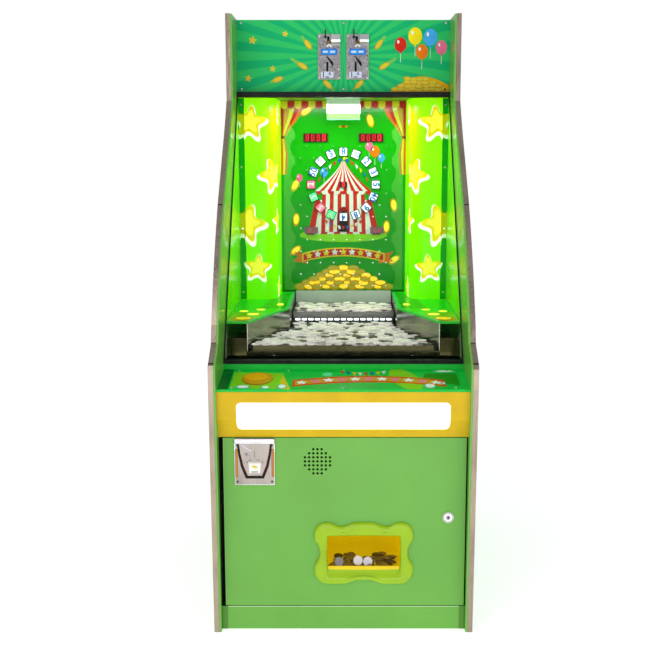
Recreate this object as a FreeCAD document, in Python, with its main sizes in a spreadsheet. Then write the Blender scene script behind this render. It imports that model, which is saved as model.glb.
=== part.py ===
"""A coin pusher: a laminated cabinet with a glazed play stage over a lit shelf and a service door.

The floor is Z = 0, the front faces -Y and the origin is the middle of the footprint. Places along the
cabinet are given as a recess, the distance back from its frontmost edge, and heights above the shelf as a
rise over base_height, so that a change of one overall size carries everything that belongs to it along.
"""

import FreeCAD
import Part
import math
import os
import re

import Sketcher
from FreeCAD import Placement, Rotation, Vector

SIZES = {
    # overall
    "cabinet_width": 650,
    "cabinet_depth": 950,
    "base_height": 630,
    "upper_height": 940,
    # boards and sheets
    "side_board": 17,
    "trim_sheet": 1,
    "trim_leg": 13,
    "back_board": 15,
    "floor_board": 18,
    "top_board": 18,
    "ceiling_sheet": 12,
    "panel_board": 12,
    "wing_sheet": 3,
    # outline of the side panels
    "foot_setback": 25,
    "nose_rise": 59,
    "shoulder_recess": 73,
    "shoulder_rise": 100,
    "brow_recess": 520,
    "brow_rise": 705,
    # window
    "window_rise": 720,
    "channel_height": 15,
    "channel_recess": 622,
    "glass_foot_recess": 172,
    "glass_foot_rise": 39,
    "glass_head_recess": 632,
    "glass_run": 6,
    "gasket_width": 3,
    "marquee_recess": 660,
    # control shelf and light box
    "shelf_recess": 10,
    "shelf_sheet": 6,
    "shelf_back": 190,
    "shelf_slope": 16,
    "riser_board": 18,
    "riser_rise": 30,
    "light_sheet": 3,
    "light_window": 520,
    "light_foot_recess": 34,
    "light_foot_drop": 127,
    "tube_diameter": 16,
    # service door
    "kick_height": 61,
    "kick_recess": 46,
    "door_board": 18,
    "door_top_drop": 130,
    "door_gap": 2,
    "hinge_gap": 10,
    "lock_gap": 3,
    "post_width": 20,
    "post_depth": 12,
    "post_clearance": 6,
    "filler_width": 14,
    "pin_diameter": 8,
    "pin_length": 22,
    "fit_clearance": 0.05,
    "lock_side": 46,
    "lock_height": 296,
    "lock_body": 19,
    "lock_plug": 13,
    "cam_length": 36,
    "cam_sheet": 2,
    "speaker_side": 64,
    "speaker_drop": 190,
    "speaker_hole": 6.5,
    "speaker_pitch": 10.3,
    "ticket_side": 219,
    "ticket_drop": 190,
    "ticket_width": 99,
    "ticket_height": 119,
    "roller_diameter": 22,
    "tray_side": 51,
    "tray_width": 186,
    "tray_sill": 148,
    "tray_mouth": 104,
    "tray_reach": 216,
    "tray_wall": 2.5,
    "bezel_depth": 10,
    # play stage
    "stage_recess": 840,
    "stage_half": 194,
    "bed_rise": 50,
    "bed_sheet": 3,
    "bed_front_recess": 241,
    "bed_lip_rise": 15,
    "bed_lip_run": 28,
    "bed_lip_drop": 8,
    "bed_front_half": 250,
    "deck_rise": 127,
    "deck_sheet": 5,
    "deck_front_recess": 243,
    "deck_waist_recess": 497,
    "wing_flat": 56,
    "wing_radius": 50,
    "ring_radius": 101,
    "ring_rise": 464,
    "tile_side": 28,
    "peg_pitch": 41,
    "peg_row": 36,
    "peg_length": 24,
    "peg_radius": 1.6,
    "tile_thickness": 5,
    "tile_count": 16,
    "chute_half": 50,
    "chute_recess": 735,
    "chute_depth": 50,
    "chute_drop": 41,
    "chute_wall": 9,
    "token_diameter": 24,
    "token_height": 1.8,
    # pusher and its drive
    "pusher_width": 300,
    "pusher_rest": 644,
    "pusher_depth": 240,
    "pusher_height": 42,
    "pusher_sheet": 2.5,
    "slide_gap": 0.3,
    "side_gap": 3,
    "crank_recess": 720,
    "crank_throw": 25,
    "crank_disc": 80,
    "roller_radius": 6,
    "yoke_slack": 5.8,
    # coin acceptors
    "acceptor_side": 41,
    "acceptor_width": 65,
    "acceptor_height": 127,
    "acceptor_rise": 772,
    "nose_side": 6,
    "nose_width": 26,
    "nose_height": 32,
    "nose_reach": 5,
    "lamp_width": 14,
    "lamp_count": 15,
    "lamp_margin": 7.5,
    "label_half": 23.5,
    "label_drop": 38,
    "label_height": 22,
    "lever_pin": 3,
    "lever_hub": 8,
    "lever_rise": 13,
    # works in the base
    "cash_half": 190,
    "cash_recess": 300,
    "cash_depth": 280,
    "cash_height": 150,
    "cash_sheet": 2,
    "supply_side": 150,
    "supply_half": 80,
    "supply_recess": 680,
    "supply_depth": 100,
    "supply_height": 48,
    "inlet_side": 200,
    "inlet_half": 14,
    "inlet_foot": 80,
    "inlet_height": 20,
    # rear service opening
    "rear_half": 230,
    "rear_sill": 150,
    "rear_head": 1050,
    "rear_gap": 4,
}

doc = FreeCAD.newDocument("coin_pusher")
sheet = doc.addObject("Spreadsheet::Sheet", "Sizes")
for row, (alias, number) in enumerate(SIZES.items(), start=1):
    sheet.set(f"A{row}", alias)
    sheet.set(f"B{row}", str(number))
    sheet.setAlias(f"B{row}", alias)
doc.recompute()

NODES = {}

INNER = "(cabinet_width / 2 - trim_sheet - side_board)"
TOP = "(base_height + upper_height - trim_sheet)"
BACK_INNER = "(cabinet_depth - back_board)"
BED = "(base_height + bed_rise)"
DECK = "(base_height + deck_rise)"
WINDOW = "(base_height + window_rise)"
DOOR_TOP = "(base_height - door_top_drop)"
DOOR_FOOT = "(kick_height + door_gap)"
DOOR_BACK = "(kick_recess + door_board)"
POST_FRONT = "(kick_recess + door_board + post_clearance)"
RAIL = "(pusher_width / 2 + side_gap)"


# ---------------------------------------------------------------- helpers
def formula(text):
    """Turn words such as cabinet_width into cells of the sheet."""
    return re.sub(r"[a-z]+(_[a-z]+)+", r"Sizes.\g<0>", str(text))


def number(text):
    """The present value of a formula, in millimetres."""
    return float(sheet.evalExpression(formula(text)))


def bind(piece, bindings):
    for prop, text in bindings.items():
        piece.setExpression(prop, formula(text))


def back_by(recess):
    """The Y of a place that lies recess behind the frontmost edge."""
    return f"({recess} - cabinet_depth / 2)"


def node(label, piece):
    """Name a finished sub-part. Its label names its file too."""
    piece.Label = label
    NODES[label] = piece
    return piece


def slab(x, recess, z):
    """A box between two places along each axis."""
    piece = doc.addObject("Part::Box", "slab")
    bind(piece, {
        "Length": f"({x[1]}) - ({x[0]})",
        "Width": f"({recess[1]}) - ({recess[0]})",
        "Height": f"({z[1]}) - ({z[0]})",
        "Placement.Base.x": x[0],
        "Placement.Base.y": back_by(recess[0]),
        "Placement.Base.z": z[0],
    })
    return piece


TURNS = {
    "x": Rotation(Vector(0, 1, 0), 90),
    "y": Rotation(Vector(1, 0, 0), -90),
    "z": Rotation(),
}


def rod(x, recess, z, radius, length, axis):
    """A cylinder that starts at a point and runs along +axis."""
    piece = doc.addObject("Part::Cylinder", "rod")
    piece.Placement = Placement(Vector(), TURNS[axis])
    bind(piece, {
        "Radius": radius,
        "Height": length,
        "Placement.Base.x": x,
        "Placement.Base.y": back_by(recess),
        "Placement.Base.z": z,
    })
    return piece


def fuse(pieces):
    joined = doc.addObject("Part::MultiFuse", "joined")
    joined.Shapes = pieces
    joined.Refine = True
    return joined


def cut(base, tools):
    opened = doc.addObject("Part::Cut", "opened")
    opened.Base = base
    opened.Tool = tools[0] if len(tools) == 1 else fuse(tools)
    return opened


def group(pieces):
    """Several separate solids kept as one sub-part."""
    together = doc.addObject("Part::Compound", "together")
    together.Links = pieces
    return together


def shape_piece(shape):
    piece = doc.addObject("Part::Feature", "shaped")
    piece.Shape = shape
    return piece


PLANES = {"XY": "XY_Plane", "XZ": "XZ_Plane", "YZ": "YZ_Plane"}


def outline(body, plane, corners):
    """A closed, fully constrained polygon on one of the body's own origin planes."""
    sketch = body.newObject("Sketcher::SketchObject", "outline")
    support = next(f for f in body.Origin.OriginFeatures if f.Role == PLANES[plane])
    sketch.AttachmentSupport = [(support, "")]
    sketch.MapMode = "FlatFace"
    points = [Vector(number(u), number(v), 0) for u, v in corners]
    count = len(points)
    for i in range(count):
        sketch.addGeometry(Part.LineSegment(points[i], points[(i + 1) % count]), False)
    for i in range(count):
        sketch.addConstraint(Sketcher.Constraint("Coincident", i, 2, (i + 1) % count, 1))
    for i, (u, v) in enumerate(corners):
        for kind, text, place in (("DistanceX", u, points[i].x), ("DistanceY", v, points[i].y)):
            index = sketch.addConstraint(Sketcher.Constraint(kind, -1, 1, i, 1, place))
            name = f"{kind}{i}"
            sketch.renameConstraint(index, name)
            sketch.setExpression(f"Constraints.{name}", formula(text))
    return sketch


def pad(plane, corners, start, thickness):
    """A body padded from an outline. On XZ the outline is (x, z) and the pad runs backwards from a
    recess; on YZ it is (recess as Y, z) and runs along +X; on XY it is (x, Y) and runs upwards."""
    body = doc.addObject("PartDesign::Body", "body")
    sketch = outline(body, plane, corners)
    feature = body.newObject("PartDesign::Pad", "pad")
    feature.Profile = sketch
    feature.Reversed = plane == "XZ"
    bind(feature, {"Length": thickness})
    axis = {"XY": "z", "XZ": "y", "YZ": "x"}[plane]
    bind(body, {f"Placement.Base.{axis}": back_by(start) if plane == "XZ" else start})
    body.Tip = feature
    return body


def fillet(body, test, radius):
    """Round the edges of the body's last feature that pass a test."""
    doc.recompute()
    base = body.Tip
    names = [f"Edge{i}" for i, edge in enumerate(base.Shape.Edges, 1) if test(edge)]
    feature = body.newObject("PartDesign::Fillet", "round")
    feature.Base = (base, names)
    bind(feature, {"Radius": radius})
    body.Tip = feature
    return body


def mirrored(corners, side):
    """Corners (x, v) for the right side, flipped for the left."""
    return [(f"{side} * ({u})", v) for u, v in corners]


SIDES = (("left", -1), ("right", 1))


# ---------------------------------------------------------------- cabinet
def side_outline():
    """The side view of the cabinet as a closed wire in the YZ plane, run 60 mm past the back and floor."""
    spare = 60
    base = number("base_height")
    half = number("cabinet_depth") / 2

    def at(recess, z):
        return Vector(0, recess - half, z)

    top = base + number("upper_height")
    brow = at(number("brow_recess"), base + number("brow_rise"))
    shoulder = at(number("shoulder_recess"), base + number("shoulder_rise"))
    neck = at(number("brow_recess - 120"), base + number("brow_rise - 137"))
    waist = at(number("shoulder_recess + 205"), base + number("shoulder_rise + 342"))
    chest = at(number("shoulder_recess + 13"), base + number("shoulder_rise + 45"))
    nose_top = at(4, base + number("nose_rise"))
    edges = [
        Part.makeLine(at(number("cabinet_depth") + spare, top), at(number("brow_recess"), top)),
        Part.makeLine(at(number("brow_recess"), top), brow),
        Part.Arc(brow, (brow + neck) / 2 + Vector(0, 5, 0), neck).toShape(),
        Part.makeLine(neck, waist),
        Part.Arc(waist, (waist + chest) / 2 + Vector(0, -9, 6), chest).toShape(),
        Part.makeLine(chest, shoulder),
        Part.makeLine(shoulder, nose_top),
        Part.makeLine(nose_top, at(0, base + number("nose_rise - 8"))),
        Part.makeLine(at(0, base + number("nose_rise - 8")), at(0, base)),
        Part.makeLine(at(0, base), at(number("foot_setback"), 0)),
        Part.makeLine(at(number("foot_setback"), 0), at(number("foot_setback"), -spare)),
        Part.makeLine(at(number("foot_setback"), -spare), at(number("cabinet_depth") + spare, -spare)),
        Part.makeLine(at(number("cabinet_depth") + spare, -spare), at(number("cabinet_depth") + spare, top)),
    ]
    return Part.Wire(edges)


def side_slice(inset, x_from, x_to):
    """The side view set in from its front and top edges, as a solid between two X."""
    face = Part.Face(side_outline())
    if inset:
        face = face.makeOffset2D(-inset, join=2)
    depth = number("cabinet_depth")
    height = number("base_height + upper_height")
    limits = Part.makeBox(x_to - x_from, depth, height, Vector(x_from, -depth / 2, 0))
    face.translate(Vector(x_from, 0, 0))
    return face.extrude(Vector(x_to - x_from, 0, 0)).common(limits)


def make_sides():
    sheet_thick = number("trim_sheet")
    leg = number("trim_leg")
    outer = number("cabinet_width / 2")
    panel = side_slice(sheet_thick, number(INNER), outer - sheet_thick)
    trim = side_slice(0, outer - leg, outer)
    trim = trim.cut(side_slice(sheet_thick, outer - leg - 1, outer - sheet_thick))
    trim = trim.cut(side_slice(leg, outer - leg - 1, outer + 1))
    flip = FreeCAD.Matrix(-1, 0, 0, 0, 0, 1, 0, 0, 0, 0, 1, 0, 0, 0, 0, 1)
    for side, sign in SIDES:
        node(f"side_panel_{side}", shape_piece(panel.transformGeometry(flip) if sign < 0 else panel))
        node(f"edge_trim_{side}", shape_piece(trim.transformGeometry(flip) if sign < 0 else trim))


def make_boards():
    across = (f"-{INNER}", INNER)
    node("base_board", slab(across, (DOOR_BACK, BACK_INNER), ("(kick_height - floor_board)", "kick_height")))
    behind_marquee = "(marquee_recess + panel_board)"
    node("top_board", slab(across, (behind_marquee, BACK_INNER), (f"({TOP} - top_board)", TOP)))
    ceiling = slab(across, (behind_marquee, BACK_INNER), (WINDOW, f"({WINDOW} + ceiling_sheet)"))
    chute_hole = slab(("(-chute_half + chute_wall - 1)", "(chute_half - chute_wall + 1)"),
                      ("(chute_recess + chute_wall - 2)", "(chute_recess + chute_depth - chute_wall + 2)"),
                      (f"({WINDOW} - 1)", f"({WINDOW} + ceiling_sheet + 1)"))
    node("ceiling_board", cut(ceiling, [chute_hole]))
    back = slab(across, (BACK_INNER, "cabinet_depth"), ("0", TOP))
    opening = slab(("-rear_half", "rear_half"), (f"({BACK_INNER} - 1)", "(cabinet_depth + 1)"),
                   ("rear_sill", "rear_head"))
    inlet = slab(("(inlet_side - inlet_half)", "(inlet_side + inlet_half)"),
                 (f"({BACK_INNER} - 1)", "(cabinet_depth + 1)"),
                 ("inlet_foot", "(inlet_foot + inlet_height)"))
    node("back_panel", cut(back, [opening, inlet]))
    kick_half = f"({INNER} - filler_width)"
    node("kick_panel", slab((f"-{kick_half}", kick_half), ("kick_recess", DOOR_BACK), ("0", "kick_height")))


def make_door_frame():
    """Posts and a header that the door closes against, with the filler blocks beside the kick panel."""
    pieces = []
    post_back = f"({POST_FRONT} + post_depth)"
    header_top = f"({DOOR_TOP} + 30)"
    for side, sign in SIDES:
        edges = sorted((f"{sign} * {INNER}", f"{sign} * ({INNER} - post_width)"), key=number)
        filler = sorted((f"{sign} * {INNER}", f"{sign} * ({INNER} - filler_width)"), key=number)
        pieces.append(slab(edges, (POST_FRONT, post_back), ("kick_height", header_top)))
        pieces.append(slab(filler, ("kick_recess", DOOR_BACK), ("0", "kick_height")))
    reach = f"({INNER} - post_width)"
    pieces.append(slab((f"-{reach}", reach), (POST_FRONT, post_back), (f"({DOOR_TOP} - 15)", header_top)))
    node("door_frame", group(pieces))


def make_marquee():
    across = (f"-{INNER}", INNER)
    bottom = f"({WINDOW} + channel_height)"
    panel = slab(across, ("marquee_recess", "(marquee_recess + panel_board)"), (bottom, TOP))
    holes = []
    for _, sign in SIDES:
        centre = f"({sign} * acceptor_side)"
        holes.append(slab((f"({centre} - acceptor_width / 2 + 4)", f"({centre} + acceptor_width / 2 - 4)"),
                          ("(marquee_recess - 1)", "(marquee_recess + panel_board + 1)"),
                          ("(base_height + acceptor_rise + 6)",
                           "(base_height + acceptor_rise + acceptor_height - 6)")))
    node("marquee_panel", cut(panel, holes))
    node("glass_top_channel",
         slab(across, ("channel_recess", "(marquee_recess + panel_board)"), (WINDOW, bottom)))


# ---------------------------------------------------------------- window and shelf
def glass_outline(head_drop):
    """The leaning pane in side view, from the bottom channel to just under the top one."""
    foot = "(base_height + glass_foot_rise)"
    head = f"({WINDOW} - {head_drop})"
    return [
        (back_by("glass_foot_recess"), foot),
        (back_by("(glass_foot_recess + glass_run)"), foot),
        (back_by("(glass_head_recess + glass_run)"), head),
        (back_by("glass_head_recess"), head),
    ]


def make_window():
    half = f"({INNER} - gasket_width)"
    node("front_glass", pad("YZ", glass_outline("0.5"), f"-{half}", f"2 * {half}"))
    seals = [pad("YZ", glass_outline("0.5"), f"-{INNER}", "gasket_width"),
             pad("YZ", glass_outline("0.5"), half, "gasket_width")]
    node("glass_gaskets", group(seals))
    foot = "(base_height + glass_foot_rise)"
    node("glass_bottom_channel",
         slab((f"-{INNER}", INNER), ("(shelf_back - riser_board - 2)", "shelf_back"),
              ("(base_height + riser_rise)", foot)))


def make_shelf():
    riser_front = back_by("(shelf_back - riser_board)")
    corners = [
        (back_by("shelf_recess"), "base_height - shelf_sheet"),
        (back_by("shelf_recess"), "base_height"),
        (riser_front, "base_height + shelf_slope"),
        (riser_front, "base_height + riser_rise"),
        (back_by("shelf_back"), "base_height + riser_rise"),
        (back_by("shelf_back"), "base_height + shelf_slope - shelf_sheet"),
    ]
    node("shelf_panel", pad("YZ", corners, f"-{INNER}", f"2 * {INNER}"))


def light_profile(shift, top, bottom):
    """The bowed front of the light box in side view, moved back by shift."""
    front = [
        (f"(shelf_recess + 2 + {shift})", f"(base_height - shelf_sheet - {top})"),
        (f"(shelf_recess + 7 + {shift})", "(base_height - 55)"),
        (f"(shelf_recess + 11 + {shift})", "(base_height - 78)"),
        (f"(shelf_recess + 21 + {shift})", "(base_height - 97)"),
        (f"(shelf_recess + light_foot_recess - {bottom} / 2 + {shift})",
         f"(base_height - light_foot_drop + {bottom})"),
    ]
    back = [(f"({recess} + light_sheet)", z) for recess, z in reversed(front)]
    return [(back_by(recess), z) for recess, z in front + back]


def make_light_box():
    shell = pad("YZ", light_profile("0", "0.5", "0"), f"-{INNER}", f"2 * {INNER}")
    half = "(light_window / 2)"
    window = pad("XZ", [
        (f"-{half}", "base_height - 106"), (half, "base_height - 106"),
        (half, "base_height - 34"), (f"-{half}", "base_height - 34"),
    ], "0", "100")
    fillet(window, lambda edge: abs(edge.tangentAt(edge.FirstParameter).y) > 0.99, "12")
    node("light_box_housing", cut(shell, [window]))
    sheet_half = f"({half} + 20)"
    node("light_box_diffuser",
         pad("YZ", light_profile("(light_sheet + 1.5)", "10", "6"), f"-{sheet_half}", f"2 * {sheet_half}"))


def make_light_tubes():
    """One tube in the light box and two upright behind each lit wing, each with its end caps."""
    tube = "(tube_diameter / 2)"
    pieces = [rod("-light_window / 2 + 10", "62", "base_height - 58", tube, "light_window - 20", "x")]
    for _, sign in SIDES:
        for reach in ("75", "35"):
            place = f"{sign} * ({INNER} - {reach})"
            pieces.append(rod(place, "marquee_recess + 95", f"{DECK} + 40", tube,
                              "window_rise - deck_rise - 80", "z"))
    node("light_tubes", group(pieces))


# ---------------------------------------------------------------- play stage
def make_wings():
    """Lit panels: a flat beside the wall, a round corner and a return to the stage board."""
    for side, sign in SIDES:
        turn = f"({INNER} - wing_flat - wing_radius)"
        front = back_by("marquee_recess")
        behind = back_by("(marquee_recess + wing_sheet)")
        stage = back_by("stage_recess")
        corners = mirrored([
            (INNER, front), (turn, front), ("stage_half", stage),
            ("stage_half + wing_sheet", stage), (f"{turn} + wing_sheet", behind), (INNER, behind),
        ], sign)
        wing = pad("XY", corners, DECK, "window_rise - deck_rise")
        corner_x = sign * number(turn)

        def at_corner(edge, x, y):
            upright = edge.Vertexes[0].Point.sub(edge.Vertexes[-1].Point)
            spot = edge.Vertexes[0].Point
            return abs(upright.z) > 1 and abs(spot.x - x) < 0.01 and abs(spot.y - y) < 0.01

        fillet(wing, lambda e: at_corner(e, corner_x, number(front)), "wing_radius")
        inner_x = sign * number(f"{turn} + wing_sheet")
        fillet(wing, lambda e: at_corner(e, inner_x, number(behind)), "wing_radius - wing_sheet")
        node(f"wing_panel_{side}", wing)


def make_stage():
    half = "(stage_half + wing_sheet)"
    node("backboard", slab((f"-{half}", half), ("stage_recess", "(stage_recess + panel_board)"),
                           (f"({DECK} + 4.5)", WINDOW)))
    front = "(stage_recess - 6)"
    displays = []
    for x, rise, wide, tall in ((-86, 608, 76, 26), (86, 608, 76, 26), (-101, 322, 42, 20),
                                (105, 322, 42, 20), (0, 464, 24, 18)):
        displays.append(slab((f"{x - wide / 2}", f"{x + wide / 2}"), (front, "stage_recess"),
                             (f"(base_height + {rise - tall / 2})", f"(base_height + {rise + tall / 2})")))
    node("score_displays", group(displays))
    node("number_tiles", group([tile(i) for i in range(16)]))
    node("peg_pins", group(pegs()))
    node("side_guides", group([guide(sign) for _, sign in SIDES]))
    chute_back = "(chute_recess + chute_depth)"
    neck_top = f"({WINDOW} + ceiling_sheet + 30)"
    throat_half = "(chute_half - chute_wall - 5)"
    chute = fuse([
        slab(("-chute_half", "chute_half"), ("chute_recess", chute_back),
             (f"({WINDOW} - chute_drop)", WINDOW)),
        slab(("(-chute_half + chute_wall + 1)", "(chute_half - chute_wall - 1)"),
             ("(chute_recess + chute_wall)", f"({chute_back} - chute_wall)"), (f"({WINDOW} - 1)", neck_top)),
    ])
    throat = slab((f"-{throat_half}", throat_half),
                  ("(chute_recess + chute_wall + 4)", f"({chute_back} - chute_wall - 4)"),
                  (f"({WINDOW} - chute_drop - 1)", f"({neck_top} + 1)"))
    node("coin_chute", cut(chute, [throat]))
    node("wiper_bar", slab(("-pusher_width / 2", "pusher_width / 2"),
                           ("(stage_recess - 8)", "(stage_recess + 4)"),
                           (f"({BED} + pusher_height + 1)", f"({DECK} + 4)")))


def tile(index):
    """One lit number tile of the ring, square on to the ring's radius."""
    piece = doc.addObject("Part::Box", "tile")
    angle = index * 360 / number("tile_count")
    turn = Rotation(Vector(0, 1, 0), angle)
    piece.Placement = Placement(Vector(), turn)
    corner = turn.multVec(Vector(-number("tile_side") / 2, 0, number("ring_radius - tile_side / 2")))
    bind(piece, {
        "Length": "tile_side",
        "Width": "tile_thickness",
        "Height": "tile_side",
        "Placement.Base.x": corner.x,
        "Placement.Base.y": back_by("(stage_recess - tile_thickness)"),
        "Placement.Base.z": f"base_height + ring_rise + {corner.z}",
    })
    return piece


def pegs():
    """Steel pins in staggered rows, left out of the ring and the displays."""
    pieces = []
    keep_out = number("ring_radius + tile_side / 2 + 6")
    for level in range(14):
        rise = 150 + level * number("peg_row")
        for step in range(-4, 4):
            x = (step + 0.25 + 0.5 * (level % 2)) * number("peg_pitch")
            off_ring = math.hypot(x, rise - number("ring_rise")) > keep_out
            off_display = abs(rise - 608) > 18 and not (abs(rise - 322) < 14 and 76 < abs(x) < 130)
            if abs(x) < 138 and off_ring and off_display:
                pieces.append(rod(x, "stage_recess - peg_length", f"base_height + {rise}", "peg_radius",
                                  "peg_length", "y"))
    return pieces


def guide(sign):
    """A clear side guide whose inner edge is scalloped, held off the board."""
    span = 560
    scallops = 7
    edges = sorted((f"{sign} * 150", f"{sign} * (stage_half - 10)"), key=number)
    depth = ("(stage_recess - 22)", "stage_recess")
    body = slab(edges, depth, (f"({DECK} + 10)", f"({DECK} + {10 + span})"))
    pitch = span / scallops
    bites = [rod(f"{sign * 128}", "stage_recess - 23", f"{DECK} + {10 + (i + 0.5) * pitch}", "36", "24", "y")
             for i in range(scallops)]
    return cut(body, bites)


def make_bed():
    """The steel play bed: narrow between the rails, flared in front, wall to wall behind."""
    waist = back_by("deck_waist_recess")
    rear = back_by(f"({BACK_INNER} - 8)")
    front = back_by("bed_front_recess")
    shoulder = back_by("(deck_waist_recess + 25)")
    right = [("bed_front_half + 2", front), ("bed_front_half + 2", back_by("deck_front_recess")),
             (f"{RAIL} + 2", waist), (f"{RAIL} + 2", shoulder), (INNER, shoulder), (INNER, rear)]
    left = [(f"-({u})", v) for u, v in reversed(right)]
    plate = pad("XY", right + left, f"({BED} - bed_sheet)", "bed_sheet")
    well = rod("0", "crank_recess", f"({BED} - bed_sheet - 1)", "(crank_throw + roller_radius + 4)",
               "bed_sheet + 2", "z")
    lip = slab(("-bed_front_half", "bed_front_half"), ("bed_front_recess", "(bed_front_recess + 2)"),
               (f"({BED} - bed_sheet - bed_lip_drop)", f"({BED} - bed_sheet)"))
    crest = f"({BED} + bed_lip_rise)"
    ramp = pad("YZ", [
        (front, BED), (front, crest), (back_by("(bed_front_recess + 3)"), crest),
        (back_by("(bed_front_recess + bed_lip_run)"), BED),
    ], "-bed_front_half + 14", "2 * bed_front_half - 28")
    node("lower_bed", fuse([cut(plate, [well]), lip, ramp]))
    rails = []
    for _, sign in SIDES:
        run = mirrored([
            ("bed_front_half", back_by("deck_front_recess")), (RAIL, waist),
            (RAIL, back_by("(stage_recess + 10)")), (f"{RAIL} + 2", back_by("(stage_recess + 10)")),
            (f"{RAIL} + 2", waist), ("bed_front_half + 2", back_by("deck_front_recess")),
        ], sign)
        rails.append(pad("XY", run, BED, "deck_rise - bed_rise - deck_sheet"))
    node("bed_side_rails", group(rails))
    for side, sign in SIDES:
        corners = mirrored([
            (INNER, back_by("deck_front_recess")), ("bed_front_half", back_by("deck_front_recess")),
            (RAIL, waist), (RAIL, back_by("(stage_recess + 10)")), (INNER, back_by("(stage_recess + 10)")),
        ], sign)
        node(f"deck_{side}", pad("XY", corners, f"({DECK} - deck_sheet)", "deck_sheet"))


def funnel(inset, spare):
    """Front view of the win chute: a wide mouth that narrows to a duct over the prize tray."""
    mouth = f"({INNER} - 2 - {inset})"
    neck = f"(42 - {inset})"
    top = f"(base_height + riser_rise + 6 + {spare})"
    bend = "(base_height - 60)"
    throat = "(base_height - 130)"
    return [
        (f"-{mouth}", top), (f"-{mouth}", bend), (f"tray_side - {neck}", throat),
        (f"tray_side - {neck}", f"tray_sill + 156 - {spare}"),
        (f"tray_side + {neck}", f"tray_sill + 156 - {spare}"),
        (f"tray_side + {neck}", throat), (mouth, bend), (mouth, top),
    ]


def make_win_chute():
    shell = pad("XZ", funnel("0", "0"), "(shelf_back + 1)", "60")
    space = pad("XZ", funnel("1.5", "1"), "(shelf_back + 2.5)", "57")
    node("win_chute", cut(shell, [space]))


def token_layers(rows, columns, first, level, layers, slant):
    """Tokens lying in level, staggered layers, each clear of its neighbours."""
    diameter = number("token_diameter")
    thick = number("token_height")
    pitch = diameter + 1
    pieces = []
    for layer in range(layers):
        for row in range(rows):
            wide = columns(row)
            for i in range(wide):
                shift = 0.5 * ((row + layer) % 2)
                x = (i - (wide - 1) / 2 + shift - 0.25) * pitch
                y = first + row * pitch * slant + layer * 0.3 * pitch
                z = level + layer * (thick + 0.2)
                pieces.append(Part.makeCylinder(diameter / 2, thick, Vector(x, y, z)))
    return Part.makeCompound(pieces)


def make_tokens():
    half_depth = number("cabinet_depth / 2")
    level = number(BED) + 0.1
    rest = number("pusher_rest") - half_depth

    def bed_columns(row):
        recess = number("bed_front_recess + bed_lip_run") + 14 + row * 22
        flare = (number("deck_waist_recess") - recess) / number("deck_waist_recess - deck_front_recess")
        half = number(RAIL) + max(0, min(1, flare)) * number(f"bed_front_half - {RAIL}")
        return int(2 * (half - 16) / (number("token_diameter") + 1))

    bed_rows = int(number("pusher_rest - crank_throw - 26 - bed_front_recess - bed_lip_run") / 22)
    start = number("bed_front_recess + bed_lip_run") - half_depth + 13
    node("tokens_bed", shape_piece(token_layers(bed_rows, bed_columns, start, level, 3, 0.88)))
    top = number(BED) + number("slide_gap + pusher_height") + 0.1
    shelf_rows = int((number("stage_recess - 8 - crank_throw - pusher_rest") - 34) / 22)
    across = int((number("pusher_width") - 30) / (number("token_diameter") + 1))
    node("tokens_pusher",
         shape_piece(token_layers(shelf_rows, lambda row: across, rest + 15, top, 4, 0.88)))


# ---------------------------------------------------------------- pusher and drive
def make_pusher():
    """An inverted tray that slides on the bed, with the yoke that the crank's roller works in."""
    half = "(pusher_width / 2)"
    bottom = f"({BED} + slide_gap)"
    top = f"({bottom} + pusher_height)"
    back = "(pusher_rest + pusher_depth)"
    outer = slab((f"-{half}", half), ("pusher_rest", back), (bottom, top))
    hollow = slab((f"(-{half} + pusher_sheet)", f"({half} - pusher_sheet)"),
                  ("(pusher_rest + pusher_sheet)", f"({back} + 1)"),
                  (f"({bottom} - 1)", f"({top} - pusher_sheet)"))
    play = "(roller_radius + yoke_slack)"
    reach = "(crank_throw + roller_radius + 3)"
    yoke = slab((f"-({reach} + 8)", f"({reach} + 8)"),
                (f"(crank_recess - {play} - 8)", f"(crank_recess + {play} + 8)"),
                (f"({bottom} + 4)", f"({top} - pusher_sheet)"))
    slot = slab((f"-{reach}", reach), (f"(crank_recess - {play})", f"(crank_recess + {play})"),
                (f"({bottom} - 1)", f"({top} - pusher_sheet - 4)"))
    node("pusher", fuse([cut(outer, [hollow]), cut(yoke, [slot])]))
    lamps = []
    count = int(number("lamp_count"))
    for i in range(count):
        x = f"({i - (count - 1) / 2} * (pusher_width - lamp_margin) / lamp_count)"
        across = (f"({x} - lamp_width / 2)", f"({x} + lamp_width / 2)")
        lamps.append(slab(across, ("(pusher_rest - 2)", "pusher_rest"),
                          (f"({bottom} + 17)", f"({bottom} + 22)")))
    node("pusher_lights", group(lamps))


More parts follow.
